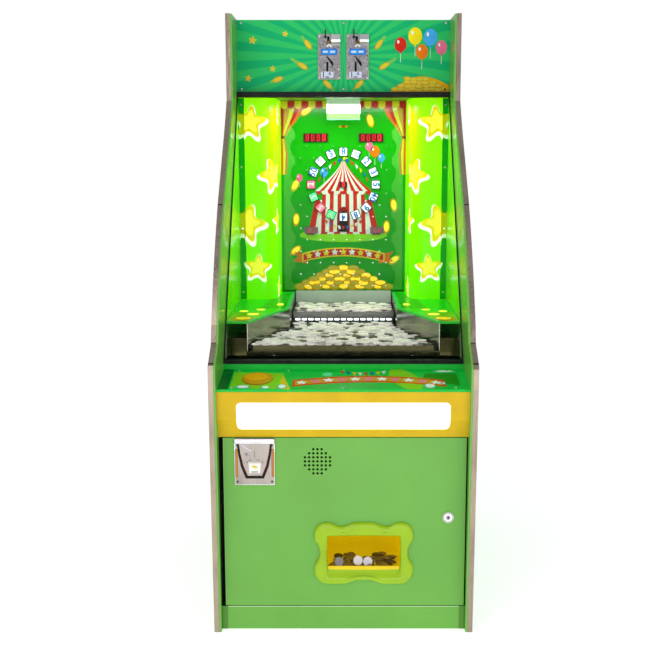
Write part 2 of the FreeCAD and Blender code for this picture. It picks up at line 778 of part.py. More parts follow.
def make_drive():
    floor = f"({BED} - bed_sheet)"
    disc_foot = f"({floor} - 30)"
    disc = cut(rod("0", "crank_recess", disc_foot, "crank_disc / 2", "10", "z"),
               [rod("0", "crank_recess", f"({disc_foot} - 1)", "5 + fit_clearance", "12", "z")])
    pin = rod("crank_throw", "crank_recess", f"({disc_foot} + 9)", "4", "21 + bed_sheet + 26", "z")
    roller = rod("crank_throw", "crank_recess", f"({BED} + 8)", "roller_radius", "20", "z")
    node("crank_disc", fuse([disc, pin, roller]))
    plate_top = f"({disc_foot} - 6)"
    strap = ("(crank_recess - 35)", "(crank_recess + 35)")
    node("gear_motor", fuse([
        slab(("-62", "62"), strap, (f"({plate_top} - 3)", plate_top)),
        slab(("-62", "-58"), strap, (f"({plate_top} - 3)", floor)),
        slab(("58", "62"), strap, (f"({plate_top} - 3)", floor)),
        slab(("-35", "35"), ("(crank_recess - 30)", "(crank_recess + 30)"),
             (f"({plate_top} - 48)", f"({plate_top} - 3)")),
        rod("0", "crank_recess", f"({plate_top} - 138)", "29", "91", "z"),
        rod("0", "crank_recess", f"({plate_top} - 4)", "5", "20", "z"),
    ]))


# ---------------------------------------------------------------- coin acceptors
def make_acceptors():
    foot = "(base_height + acceptor_rise)"
    head = f"({foot} + acceptor_height)"
    for side, sign in SIDES:
        centre = f"({sign} * acceptor_side)"
        face = slab((f"({centre} - acceptor_width / 2)", f"({centre} + acceptor_width / 2)"),
                    ("(marquee_recess - 3)", "marquee_recess"), (foot, head))
        works = slab((f"({centre} - acceptor_width / 2 + 6)", f"({centre} + acceptor_width / 2 - 6)"),
                     ("marquee_recess", "(marquee_recess + 55)"), (f"({foot} + 8)", f"({head} - 8)"))
        nose = slab((f"({centre} + nose_side)", f"({centre} + nose_side + nose_width)"),
                    ("(marquee_recess - nose_reach)", "(marquee_recess - 3)"),
                    (f"({head} - nose_height)", f"({head} - 1)"))
        label = slab((f"({centre} - label_half)", f"({centre} + label_half)"),
                     ("(marquee_recess - 5)", "(marquee_recess - 3)"),
                     (f"({head} - label_drop - label_height)", f"({head} - label_drop)"))
        deep = ("(marquee_recess - 4)", "(marquee_recess + 45)")
        entry = slab((f"({centre} - 6)", f"({centre} + 1)"), deep, (f"({head} - 34)", f"({head} - 6)"))
        escape = slab((f"({centre} - 7.5)", f"({centre} - 2.5)"), deep, (f"({foot} + 24)", f"({foot} + 50)"))
        axis = (f"({centre} - 11)", "(marquee_recess - 4)", f"({head} - 8)")
        pivot = rod(*axis, "lever_pin / 2 + fit_clearance", "12", "y")
        node(f"coin_acceptor_{side}", cut(fuse([face, works, nose, label]), [entry, escape, pivot]))
        lever = fuse([
            slab((f"({centre} - 12.5)", f"({centre} - 9.5)"),
                 ("(marquee_recess - 6)", "(marquee_recess - 3.3)"),
                 (f"({head} - 12)", f"({head} + lever_rise)")),
            rod(axis[0], "(marquee_recess - 6)", axis[2], "lever_hub / 2", "2.7", "y"),
            rod(*axis, "lever_pin / 2", "10", "y"),
        ])
        node(f"return_lever_{side}", lever)


# ---------------------------------------------------------------- service door and what it carries
HINGE_X = f"(-{INNER} + hinge_gap + door_board / 2)"
HINGE_RECESS = "(kick_recess + door_board / 2)"
LOCK_X = f"({INNER} - lock_side)"
TRAY_LEFT = "(tray_side - tray_width / 2)"
TRAY_RIGHT = "(tray_side + tray_width / 2)"
TRAY_HEAD = "(tray_sill + tray_mouth)"


def speaker_holes():
    """Seven short rows of holes that fill a round grille."""
    pieces = []
    for row, count in enumerate((3, 5, 7, 7, 7, 5, 3)):
        for i in range(count):
            x = f"-speaker_side + {i - (count - 1) / 2} * speaker_pitch"
            z = f"base_height - speaker_drop + {3 - row} * speaker_pitch"
            pieces.append(rod(x, "(kick_recess - 1)", z, "speaker_hole / 2", "door_board + 2", "y"))
    return pieces


def make_front_door():
    leaf = slab((f"(-{INNER} + hinge_gap)", f"({INNER} - lock_gap)"), ("kick_recess", DOOR_BACK),
                (DOOR_FOOT, DOOR_TOP))
    through = ("(kick_recess - 1)", f"({DOOR_BACK} + 1)")
    wall = "tray_wall"
    tray_hole = slab((f"({TRAY_LEFT} - {wall})", f"({TRAY_RIGHT} + {wall})"), through,
                     (f"(tray_sill - {wall})", f"({TRAY_HEAD} + {wall})"))
    ticket_hole = slab(("(-ticket_side - 30)", "(-ticket_side + 30)"), through,
                       ("(base_height - ticket_drop - 30)", "(base_height - ticket_drop + 30)"))
    lock_hole = rod(LOCK_X, "(kick_recess - 1)", "lock_height", "lock_body / 2", "door_board + 2", "y")
    pin_hole = "pin_diameter / 2 + fit_clearance"
    pins = [
        rod(HINGE_X, HINGE_RECESS, f"({DOOR_FOOT} - 1)", pin_hole, "pin_length + 2", "z"),
        rod(HINGE_X, HINGE_RECESS, f"({DOOR_TOP} - pin_length - 1)", pin_hole, "pin_length + 2", "z"),
    ]
    node("front_door", cut(leaf, [tray_hole, ticket_hole, lock_hole] + pins + speaker_holes()))


def make_hinge_pins():
    """Pivot pins on washers for both doors; the front door's upper one hangs from a lug."""
    pin = "pin_diameter / 2"
    washer = "door_gap - 0.5"
    front_low = [rod(HINGE_X, HINGE_RECESS, "kick_height", "8", washer, "z"),
                 rod(HINGE_X, HINGE_RECESS, "kick_height", pin, "door_gap + pin_length", "z")]
    lug = slab((f"({HINGE_X} - 9)", f"({HINGE_X} + 14)"), (f"({HINGE_RECESS} - 8)", POST_FRONT),
               (f"({DOOR_TOP} + 1)", f"({DOOR_TOP} + 4)"))
    front_high = [lug, rod(HINGE_X, HINGE_RECESS, f"({DOOR_TOP} - pin_length)", pin, "pin_length + 2", "z")]
    rear_x = "(rear_half - rear_gap - back_board / 2)"
    rear_recess = "(cabinet_depth - back_board / 2)"
    rear_low = [rod(rear_x, rear_recess, "rear_sill", "7", "rear_gap - 1", "z"),
                rod(rear_x, rear_recess, "rear_sill", pin, "rear_gap + pin_length", "z")]
    rear_reach = "rear_gap + pin_length"
    rear_high = [rod(rear_x, rear_recess, "rear_head - rear_gap + 1", "7", "rear_gap - 1", "z"),
                 rod(rear_x, rear_recess, "rear_head - rear_gap - pin_length", pin, rear_reach, "z")]
    node("hinge_pins", group([fuse(pair) for pair in (front_low, front_high, rear_low, rear_high)]))


def make_lock():
    """A cam lock: a flanged housing through the door, and the plug and cam that turn in it."""
    housing = fuse([
        rod(LOCK_X, "(kick_recess - 4)", "lock_height", "13.5", "4", "y"),
        rod(LOCK_X, "(kick_recess - 1)", "lock_height", "lock_body / 2",
            "door_board + post_clearance + post_depth + 2", "y"),
        rod(LOCK_X, DOOR_BACK, "lock_height", "13", "5", "y"),
    ])
    bore = rod(LOCK_X, "(kick_recess - 5)", "lock_height", "lock_plug / 2 + fit_clearance", "60", "y")
    node("door_lock", cut(housing, [bore]))
    cam_front = f"({POST_FRONT} + post_depth + 2)"
    plug = rod(LOCK_X, "(kick_recess - 5)", "lock_height", "lock_plug / 2",
               "5 + door_board + post_clearance + post_depth + 2 + cam_sheet", "y")
    key_slot = slab((f"({LOCK_X} - 1)", f"({LOCK_X} + 1)"), ("(kick_recess - 6)", "(kick_recess + 4)"),
                    ("lock_height - 4", "lock_height + 4"))
    cam = slab((f"({LOCK_X} - 6)", f"({LOCK_X} + 6)"), (cam_front, f"({cam_front} + cam_sheet)"),
               ("(lock_height - 8)", "(lock_height + cam_length)"))
    node("door_lock_cam", cut(fuse([plug, cam]), [key_slot]))


def make_speaker():
    node("speaker", fuse([
        rod("-speaker_side", DOOR_BACK, "base_height - speaker_drop", "42", "4", "y"),
        rod("-speaker_side", f"({DOOR_BACK} + 4)", "base_height - speaker_drop", "25", "22", "y"),
    ]))


def make_ticket_outlet():
    """The outlet's faceplate, and behind the door the feeder whose rubber roller drives the tickets."""
    centre = "(base_height - ticket_drop)"
    half = "(ticket_width / 2)"
    plate = slab((f"(-ticket_side - {half})", f"(-ticket_side + {half})"),
                 ("(kick_recess - 3)", "kick_recess"),
                 (f"({centre} - ticket_height / 2)", f"({centre} + ticket_height / 2)"))
    hood = slab((f"(-ticket_side - {half} + 3)", f"(-ticket_side + {half} - 3)"),
                ("(kick_recess - 8)", "(kick_recess - 3)"),
                (f"({centre} + ticket_height / 2 - 13)", f"({centre} + ticket_height / 2 - 1)"))
    mouth = slab(("(-ticket_side - 15)", "(-ticket_side + 15)"), ("(kick_recess - 4)", "(kick_recess + 1)"),
                 (f"({centre} - 27)", f"({centre} - 21)"))
    node("ticket_plate", cut(fuse([plate, hood]), [mouth]))
    back = f"({DOOR_BACK} + 75)"
    cheeks = [slab((f"(-ticket_side {a})", f"(-ticket_side {b})"), (DOOR_BACK, back),
                   (f"({centre} - 40)", f"({centre} + 40)")) for a, b in (("- 36", "- 33"), ("+ 33", "+ 36"))]
    shelf = slab(("(-ticket_side - 33)", "(-ticket_side + 33)"), (DOOR_BACK, back),
                 (f"({centre} - 40)", f"({centre} - 37)"))
    drive = slab(("(-ticket_side - 33)", "(-ticket_side + 33)"), (f"({back} - 22)", back),
                 (f"({centre} - 37)", f"({centre} + 30)"))
    axle_recess = f"({DOOR_BACK} + 26)"
    bores = [rod("(-ticket_side - 40)", axle_recess, centre, "3 + fit_clearance", "80", "x")]
    node("ticket_dispenser", cut(fuse(cheeks + [shelf, drive]), bores))
    node("ticket_roller", fuse([
        rod("(-ticket_side - 30)", axle_recess, centre, "roller_diameter / 2", "60", "x"),
        rod("(-ticket_side - 38)", axle_recess, centre, "3", "76", "x"),
    ]))


def bezel_outline():
    """The bezel's lobed edge: a lobe at each corner and one at top centre, hollows between."""
    half = number("tray_width / 2") + 31
    low = number("tray_sill") - 28
    high = number(TRAY_HEAD) + 30
    right = [(0, high), (24, high - 1), (38, high - 6), (53, high - 10.5), (66, high - 9), (78, high - 3),
             (92, high), (half - 15, high - 4), (half - 5, high - 14), (half, high - 30),
             (half - 1, high - 45), (half - 10, high - 61), (half - 13.5, high - 79), (half - 10, low + 67),
             (half - 1, low + 50),
             (half, low + 35), (half - 3, low + 21), (half - 11, low + 10), (half - 22, low + 2), (86, low),
             (48, low + 0.5), (36, low + 4), (20, low + 9.5), (0, low + 11.5)]
    left = [(-x, z) for x, z in reversed(right[1:-1])]
    side = number("tray_side")
    front = number(back_by("(kick_recess - bezel_depth)"))
    curve = Part.BSplineCurve()
    curve.interpolate([Vector(side + x, front, z) for x, z in right + left], PeriodicFlag=True)
    return Part.Wire(curve.toShape())


def make_prize_tray():
    depth = number("bezel_depth")
    bezel = Part.Face(bezel_outline()).extrude(Vector(0, depth, 0))
    opening = Part.makeBox(number("tray_width"), depth + 2, number("tray_mouth"),
                           Vector(number(TRAY_LEFT), number(back_by("(kick_recess - bezel_depth)")) - 1,
                                  number("tray_sill")))
    node("tray_bezel", shape_piece(bezel.cut(opening)))
    wall = "tray_wall"
    back = "(kick_recess + tray_reach)"
    outer = fuse([
        slab((f"({TRAY_LEFT} - {wall})", f"({TRAY_RIGHT} + {wall})"), ("kick_recess", back),
             (f"(tray_sill - {wall})", f"({TRAY_HEAD} + {wall})")),
        slab((f"({TRAY_LEFT} - {wall})", f"({TRAY_RIGHT} + {wall})"), (f"({back} - 78)", back),
             (f"({TRAY_HEAD} - 5)", f"({TRAY_HEAD} + 38)")),
    ])
    inner = fuse([
        slab((TRAY_LEFT, TRAY_RIGHT), ("(kick_recess - 1)", f"({back} - {wall})"), ("tray_sill", TRAY_HEAD)),
        slab((TRAY_LEFT, TRAY_RIGHT), (f"({back} - 78 + {wall})", f"({back} - {wall})"),
             (f"({TRAY_HEAD} - 6)", f"({TRAY_HEAD} + 39)")),
    ])
    sill = slab((TRAY_LEFT, TRAY_RIGHT), ("kick_recess", f"(kick_recess + {wall})"),
                ("tray_sill", "(tray_sill + 19)"))
    node("prize_tray", fuse([cut(outer, [inner]), sill]))


# ---------------------------------------------------------------- rear door and works in the base
def make_rear_door():
    edge = "(rear_half - rear_gap)"
    leaf = slab((f"-{edge}", edge), (BACK_INNER, "cabinet_depth"),
                ("(rear_sill + rear_gap)", "(rear_head - rear_gap)"))
    pin_hole = "pin_diameter / 2 + fit_clearance"
    rear_x = "(rear_half - rear_gap - back_board / 2)"
    rear_recess = "(cabinet_depth - back_board / 2)"
    lock_x = "(-rear_half + 45)"
    lock_z = "((rear_sill + rear_head) / 2)"
    bores = [
        rod(rear_x, rear_recess, "(rear_sill + rear_gap - 1)", pin_hole, "pin_length + 2", "z"),
        rod(rear_x, rear_recess, "(rear_head - rear_gap - pin_length - 1)", pin_hole, "pin_length + 2", "z"),
        rod(lock_x, f"({BACK_INNER} - 1)", lock_z, "lock_plug / 2 + fit_clearance", "back_board + 2", "y"),
    ]
    vents = [slab(("-60", "60"), (f"({BACK_INNER} - 1)", "(cabinet_depth + 1)"),
                  (f"(rear_sill + {90 + 22 * i})", f"(rear_sill + {98 + 22 * i})")) for i in range(6)]
    node("rear_door", cut(leaf, bores + vents))
    cam_back = f"({BACK_INNER} - 2)"
    node("rear_lock_cam", fuse([
        rod(lock_x, f"({cam_back} - cam_sheet)", lock_z, "lock_plug / 2", "cam_sheet + back_board + 2", "y"),
        slab((f"({lock_x} - 6)", f"({lock_x} + 6)"), (f"({cam_back} - cam_sheet)", cam_back),
             (f"({lock_z} - 8)", f"({lock_z} + cam_length + 24)")),
    ]))


def make_base_works():
    floor = "kick_height"
    cash_back = "(cash_recess + cash_depth)"
    box_outer = slab(("-cash_half", "cash_half"), ("cash_recess", cash_back),
                     (floor, "(kick_height + cash_height)"))
    box_inner = slab(("(-cash_half + cash_sheet)", "(cash_half - cash_sheet)"),
                     ("(cash_recess + cash_sheet)", f"({cash_back} - cash_sheet)"),
                     ("(kick_height + cash_sheet)", "(kick_height + cash_height + 1)"))
    node("cash_box", cut(box_outer, [box_inner]))
    supply_back = "(supply_recess + supply_depth)"
    node("power_supply", fuse([
        slab(("(-supply_side - supply_half)", "(-supply_side + supply_half)"), ("supply_recess", supply_back),
             (floor, "(kick_height + supply_height)")),
        slab(("(-supply_side - supply_half - 6)", "(-supply_side + supply_half + 6)"),
             ("(supply_recess + 10)", f"({supply_back} - 10)"), (floor, "(kick_height + 2)")),
    ]))
    wall = f"-{INNER}"
    board = slab((f"({wall} + 10)", f"({wall} + 11.6)"), ("480", "680"), ("260", "400"))
    posts = [rod(wall, f"({recess})", z, "3", "10.5", "x") for recess in (490, 670) for z in (270, 390)]
    parts = ((14, 500, 540, 300, 330), (22, 560, 600, 350, 380), (9, 620, 660, 290, 350))
    chips = [slab((f"({wall} + 11)", f"({wall} + {11 + tall})"), (f"{r0}", f"{r1}"), (f"{z0}", f"{z1}"))
             for tall, r0, r1, z0, z1 in parts]
    node("control_board", fuse([board] + posts + chips))
    node("power_inlet", slab(("(inlet_side - inlet_half)", "(inlet_side + inlet_half)"),
                             (f"({BACK_INNER} - 12)", "cabinet_depth"),
                             ("inlet_foot", "(inlet_foot + inlet_height)")))


def make_screws():
    """Round-headed screws that hold the printed panels."""
    pieces = []
    recess = "(marquee_recess - 2)"
    for z in (f"({TOP} - 9)", f"({WINDOW} + channel_height + 9)"):
        for x in (f"-({INNER} - 12)", "0", f"({INNER} - 12)"):
            pieces.append(rod(x, recess, z, "3", "2", "y"))
    for sign in (-1, 1):
        for rise in (150, 340, 520, 700):
            pieces.append(rod(f"{sign} * ({INNER} - 8)", recess, f"base_height + {rise}", "3", "2", "y"))
    node("panel_screws", group(pieces))


for make in (make_sides, make_boards, make_door_frame, make_marquee, make_window, make_shelf, make_light_box,
             make_light_tubes, make_wings, make_stage, make_bed, make_win_chute, make_tokens, make_pusher,
             make_drive, make_acceptors, make_front_door, make_hinge_pins, make_lock, make_speaker,
             make_ticket_outlet, make_prize_tray, make_rear_door, make_base_works, make_screws):
    make()
doc.recompute()

# ---------------------------------------------------------------- checks and files
for item in doc.Objects:
    if {"Invalid", "Error"} & set(item.State):
        raise RuntimeError(f"{item.Name} ({item.Label}) did not build: {item.State}")
for label, piece in NODES.items():
    if piece.Shape.isNull() or not piece.Shape.isValid() or not piece.Shape.Solids:
        raise RuntimeError(f"{label} has no sound shape")

os.makedirs("parts", exist_ok=True)
for label, piece in NODES.items():
    piece.Shape.exportStep(f"parts/{label}.step")
print(len(NODES), "sub-parts written")
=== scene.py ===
"""The looks of a coin pusher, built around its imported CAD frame.

Every place is worked out from the CAD nodes' boxes, in metres, with the front facing -Y. Printed art is
thin sheet laid on the panels, so that it has true edges, and every material is made of procedural nodes.
"""

import math
import random

import bmesh
import bpy
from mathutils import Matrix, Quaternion, Vector


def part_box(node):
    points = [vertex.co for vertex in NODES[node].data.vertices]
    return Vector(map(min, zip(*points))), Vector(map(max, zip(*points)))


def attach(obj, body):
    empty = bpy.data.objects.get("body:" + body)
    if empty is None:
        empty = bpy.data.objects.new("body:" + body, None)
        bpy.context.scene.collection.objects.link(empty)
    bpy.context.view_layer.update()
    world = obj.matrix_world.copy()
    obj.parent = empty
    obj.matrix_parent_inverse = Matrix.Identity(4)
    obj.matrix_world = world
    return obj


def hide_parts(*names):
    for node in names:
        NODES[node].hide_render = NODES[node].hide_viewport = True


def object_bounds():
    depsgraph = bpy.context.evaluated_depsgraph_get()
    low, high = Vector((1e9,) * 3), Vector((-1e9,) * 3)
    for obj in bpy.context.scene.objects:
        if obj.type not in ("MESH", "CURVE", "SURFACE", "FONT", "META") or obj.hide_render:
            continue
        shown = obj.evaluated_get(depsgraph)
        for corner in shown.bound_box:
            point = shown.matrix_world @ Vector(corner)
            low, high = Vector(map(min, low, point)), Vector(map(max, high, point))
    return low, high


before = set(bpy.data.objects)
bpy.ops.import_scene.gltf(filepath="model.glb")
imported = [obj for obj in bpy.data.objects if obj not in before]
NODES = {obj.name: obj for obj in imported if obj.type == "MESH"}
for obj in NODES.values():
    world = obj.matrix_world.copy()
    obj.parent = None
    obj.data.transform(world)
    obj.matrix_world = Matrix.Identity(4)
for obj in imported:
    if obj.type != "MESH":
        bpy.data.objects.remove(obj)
CAD_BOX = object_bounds()
random.seed(7)

MM = 0.001
SKIN = 0.0001
FRONT = CAD_BOX[0].y


# ------------------------------------------------------------------ colours and materials
def srgb(red, green, blue):
    """A screen colour from 0 to 255 as linear light."""
    def linear(value):
        value /= 255
        return value / 12.92 if value <= 0.04045 else ((value + 0.055) / 1.055) ** 2.4
    return (linear(red), linear(green), linear(blue), 1.0)


def tinted(colour, factor):
    """The same colour, lighter or darker."""
    return tuple(min(1.0, c * factor) for c in colour[:3]) + (1.0,)


class Surface:
    """A Principled material with room for a few procedural layers."""

    def __init__(self, name, colour, roughness=0.4, metallic=0.0, coat=0.0, ior=1.5):
        self.material = bpy.data.materials.new(name)
        self.material.use_nodes = True
        self.tree = self.material.node_tree
        self.shader = self.tree.nodes["Principled BSDF"]
        self.shader.inputs["Base Color"].default_value = colour
        self.shader.inputs["Roughness"].default_value = roughness
        self.shader.inputs["Metallic"].default_value = metallic
        self.shader.inputs["IOR"].default_value = ior
        self.shader.inputs["Coat Weight"].default_value = coat
        self.shader.inputs["Coat Roughness"].default_value = 0.05
        self.shader.inputs["Specular IOR Level"].default_value = 0.5 if metallic else 0.3
        self.coords = self.node("ShaderNodeTexCoord").outputs["Object"]

    def node(self, kind, **settings):
        made = self.tree.nodes.new(kind)
        for key, value in settings.items():
            setattr(made, key, value)
        return made

    def link(self, output, target):
        self.tree.links.new(output, target)

    def math(self, operation, first, second=0.0):
        made = self.node("ShaderNodeMath", operation=operation)
        for socket, value in zip(made.inputs, (first, second)):
            if isinstance(value, (int, float)):
                socket.default_value = value
            else:
                self.link(value, socket)
        return made.outputs[0]

    def axes(self):
        split = self.node("ShaderNodeSeparateXYZ")
        self.link(self.coords, split.inputs[0])
        return split.outputs

    def noise(self, scale, stretch=(1, 1, 1), detail=4.0):
        mapping = self.node("ShaderNodeMapping")
        mapping.inputs["Scale"].default_value = stretch
        self.link(self.coords, mapping.inputs["Vector"])
        made = self.node("ShaderNodeTexNoise")
        made.inputs["Scale"].default_value = scale
        made.inputs["Detail"].default_value = detail
        self.link(mapping.outputs[0], made.inputs["Vector"])
        return made.outputs["Fac"]

    def ramp(self, factor, *stops, smooth=True):
        """Colours along a factor: each stop is (position, colour)."""
        made = self.node("ShaderNodeValToRGB")
        made.color_ramp.interpolation = "LINEAR" if smooth else "CONSTANT"
        while len(made.color_ramp.elements) < len(stops):
            made.color_ramp.elements.new(0.5)
        for element, (position, colour) in zip(made.color_ramp.elements, stops):
            element.position = position
            element.color = colour
        self.link(factor, made.inputs[0])
        return made.outputs["Color"]

    def mix(self, factor, first, second, blend="MIX"):
        made = self.node("ShaderNodeMix", data_type="RGBA", blend_type=blend)
        for socket, value in ((made.inputs[0], factor), (made.inputs[6], first), (made.inputs[7], second)):
            if isinstance(value, (int, float, tuple)):
                socket.default_value = value
            else:
                self.link(value, socket)
        return made.outputs[2]

    def colour(self, output):
        self.link(output, self.shader.inputs["Base Color"])
        return self

    def mottle(self, colour, scale, amount, stretch=(1, 1, 1)):
        """Slow colour variation round one colour."""
        self.colour(self.ramp(self.noise(scale, stretch),
                              (0.3, tinted(colour, 1 - amount)), (0.7, tinted(colour, 1 + amount))))
        return self

    def rough(self, low, high, scale, stretch=(1, 1, 1)):
        spread = self.node("ShaderNodeMapRange")
        spread.inputs["From Min"].default_value = 0.3
        spread.inputs["From Max"].default_value = 0.7
        spread.inputs["To Min"].default_value = low
        spread.inputs["To Max"].default_value = high
        self.link(self.noise(scale, stretch), spread.inputs["Value"])
        self.link(spread.outputs[0], self.shader.inputs["Roughness"])
        return self

    def bump(self, height, strength, distance):
        made = self.node("ShaderNodeBump")
        made.inputs["Strength"].default_value = strength
        made.inputs["Distance"].default_value = distance
        self.link(height, made.inputs["Height"])
        self.link(made.outputs[0], self.shader.inputs["Normal"])
        return self

    def glow(self, strength, colour=None):
        self.shader.inputs["Emission Strength"].default_value = strength
        if colour is None:
            source = self.shader.inputs["Base Color"]
            if source.is_linked:
                self.link(source.links[0].from_socket, self.shader.inputs["Emission Color"])
            else:
                self.shader.inputs["Emission Color"].default_value = source.default_value
        elif isinstance(colour, tuple):
            self.shader.inputs["Emission Color"].default_value = colour
        else:
            self.link(colour, self.shader.inputs["Emission Color"])
        return self


def laminate(name, colour, coat=0.15):
    """Melamine on board: a faint orange peel and a little cloudiness."""
    made = Surface(name, colour, 0.38, coat=coat).mottle(colour, 6, 0.05)
    made.rough(0.3, 0.45, 30)
    return made.bump(made.noise(900, detail=2.0), 0.12, 0.0004)


def brushed(name, colour, stretch, joints=()):
    """Brushed stainless: fine lines along one axis, broad patches, and dark joints at given heights."""
    made = Surface(name, colour, 0.34, metallic=1.0)
    lines = made.noise(260, stretch, 6.0)
    patches = made.ramp(made.noise(7), (0.25, tinted(colour, 0.72)), (0.5, colour),
                        (0.8, tinted(colour, 1.3)))
    shade = made.ramp(lines, (0.3, (0.8, 0.8, 0.8, 1)), (0.7, (1, 1, 1, 1)))
    blended = made.mix(1.0, patches, shade, "MULTIPLY")
    height = made.axes()[2]
    for joint in joints:
        near = made.math("LESS_THAN", made.math("ABSOLUTE", made.math("SUBTRACT", height, joint)), 0.0012)
        blended = made.mix(near, blended, (0.01, 0.01, 0.01, 1.0))
    made.colour(blended)
    made.rough(0.22, 0.44, 260, stretch)
    return made.bump(lines, 0.15, 0.0002)


def polished(name, colour, roughness=0.08):
    """Polished sheet with a few soft scratches and smears."""
    made = Surface(name, colour, roughness, metallic=1.0).mottle(colour, 12, 0.12)
    made.rough(roughness, roughness + 0.14, 40, (1, 6, 1))
    return made.bump(made.noise(35, (1, 4, 1)), 0.1, 0.001)


def plastic(name, colour, roughness=0.25, coat=0.3):
    made = Surface(name, colour, roughness, coat=coat).mottle(colour, 18, 0.06)
    made.rough(roughness * 0.8, roughness * 1.3, 50)
    return made.bump(made.noise(500, detail=2.0), 0.06, 0.0003)


def ink(name, colour, glow=0.0):
    """Printed colour under clear acrylic, glowing where glow says so: lamp light on lenses and diffusers,
    painted light on the prints.
    """
    made = Surface(name, colour, 0.25, coat=0.1, ior=1.3).mottle(colour, 45, 0.07)
    made.bump(made.noise(60), 0.03, 0.0005)
    return made.glow(glow) if glow else made


def clear(name, colour, alpha):
    """Clear sheet: thin, glossy and mostly see-through."""
    made = Surface(name, colour, 0.03, coat=0.0, ior=1.45)
    made.shader.inputs["Alpha"].default_value = alpha
    return made.bump(made.noise(5), 0.02, 0.001)


def sunburst(name, centre, dark, light, rays, glow=0.0):
    """Rays of two colours that spread from a point of the XZ plane."""
    made = Surface(name, dark, 0.25, coat=0.1, ior=1.3)
    x, _, z = made.axes()
    angle = made.math("ARCTAN2", made.math("SUBTRACT", z, centre[1]), made.math("SUBTRACT", x, centre[0]))
    turn = made.math("FRACT", made.math("MULTIPLY", angle, rays / (2 * math.pi)))
    wave = made.math("ABSOLUTE", made.math("SUBTRACT", turn, 0.5))
    stripes = made.ramp(wave, (0.0, dark), (0.2, dark), (0.28, light), (0.5, light))
    spread = made.math("SQRT", made.math("ADD", made.math("POWER", made.math("SUBTRACT", x, centre[0]), 2.0),
                                         made.math("POWER", made.math("SUBTRACT", z, centre[1]), 2.0)))
    halo = made.ramp(made.math("MULTIPLY", spread, 3.0), (0.0, tinted(light, 1.1)), (1.0, tinted(dark, 0.9)))
    made.colour(made.mix(0.25, stripes, halo))
    return made.glow(glow) if glow else made


def glowing_print(name, low_colour, high_colour, low_z, high_z, glow):
    """A printed panel with a painted glow, graded from one colour at its foot to another at its head."""
    made = Surface(name, low_colour, 0.2, coat=0.1, ior=1.25)
    share = made.node("ShaderNodeMapRange")
    share.inputs["From Min"].default_value = low_z
    share.inputs["From Max"].default_value = high_z
    made.link(made.axes()[2], share.inputs["Value"])
    graded = made.ramp(share.outputs[0], (0.0, low_colour), (1.0, high_colour))
    cloud = made.ramp(made.noise(9), (0.3, (0.82, 0.82, 0.82, 1)), (0.7, (1, 1, 1, 1)))
    made.colour(made.mix(1.0, graded, cloud, "MULTIPLY"))
    return made.glow(glow)


def cast_grain(name, colour):
    """Coarse hammered metal, as on a cast coin acceptor."""
    made = Surface(name, colour, 0.4, metallic=0.85)
    grain = made.noise(420, detail=6.0)
    made.colour(made.ramp(grain, (0.3, tinted(colour, 0.35)), (0.5, colour), (0.72, tinted(colour, 1.9))))
    made.rough(0.25, 0.55, 420)
    return made.bump(grain, 0.5, 0.0006)


def token_metal(name, colour):
    """Nickel-plated tokens that differ in brightness, with worn faces; a tenth of them are nearly black as
    painted shade between the tokens, and all glow a little as painted light.
    """
    made = Surface(name, colour, 0.3, metallic=0.1)
    own = made.node("ShaderNodeAttribute", attribute_name="tone_and_shade")
    # The lowest tenth of the per-token value goes nearly black: painted shade.
    tone_and_shade = made.ramp(own.outputs["Fac"], (0.0, tinted(colour, 0.05)), (0.10, tinted(colour, 0.08)),
                     (0.16, tinted(colour, 0.8)), (1.0, tinted(colour, 1.1)))
    wear = made.ramp(made.noise(700), (0.3, (0.75, 0.75, 0.75, 1)), (0.7, (1, 1, 1, 1)))
    made.colour(made.mix(1.0, tone_and_shade, wear, "MULTIPLY"))
    made.rough(0.15, 0.4, 300)
    # The glow is painted light; the tokens hold no lamp.
    return made.bump(made.noise(900), 0.2, 0.0003).glow(0.24)


GREEN = srgb(108, 174, 68)
INKS = {
    "red": srgb(215, 40, 20), "dark_red": srgb(150, 15, 10), "orange": srgb(240, 120, 10),
    "yellow": srgb(250, 225, 20), "gold": srgb(235, 170, 0), "brown": srgb(150, 95, 10),
    "white": srgb(245, 250, 240), "blue": srgb(30, 90, 200), "sky": srgb(70, 170, 240),
    "amber": srgb(200, 150, 30), "straw": srgb(222, 200, 52), "fade": srgb(120, 196, 84),
    "pink": srgb(240, 110, 150), "lime": srgb(150, 235, 30), "leaf": srgb(40, 170, 30),
    "dark_green": srgb(0, 105, 40), "mint": srgb(90, 225, 150), "azure": srgb(40, 150, 232),
        "pale": srgb(214, 220, 236), "olive": srgb(80, 84, 60),
    "lilac": srgb(150, 140, 190), "ash": srgb(140, 136, 136), "black": srgb(12, 12, 12),
}


UNLIT = ("amber", "ash", "azure", "brown", "dark_green", "fade", "lilac", "olive", "pale")


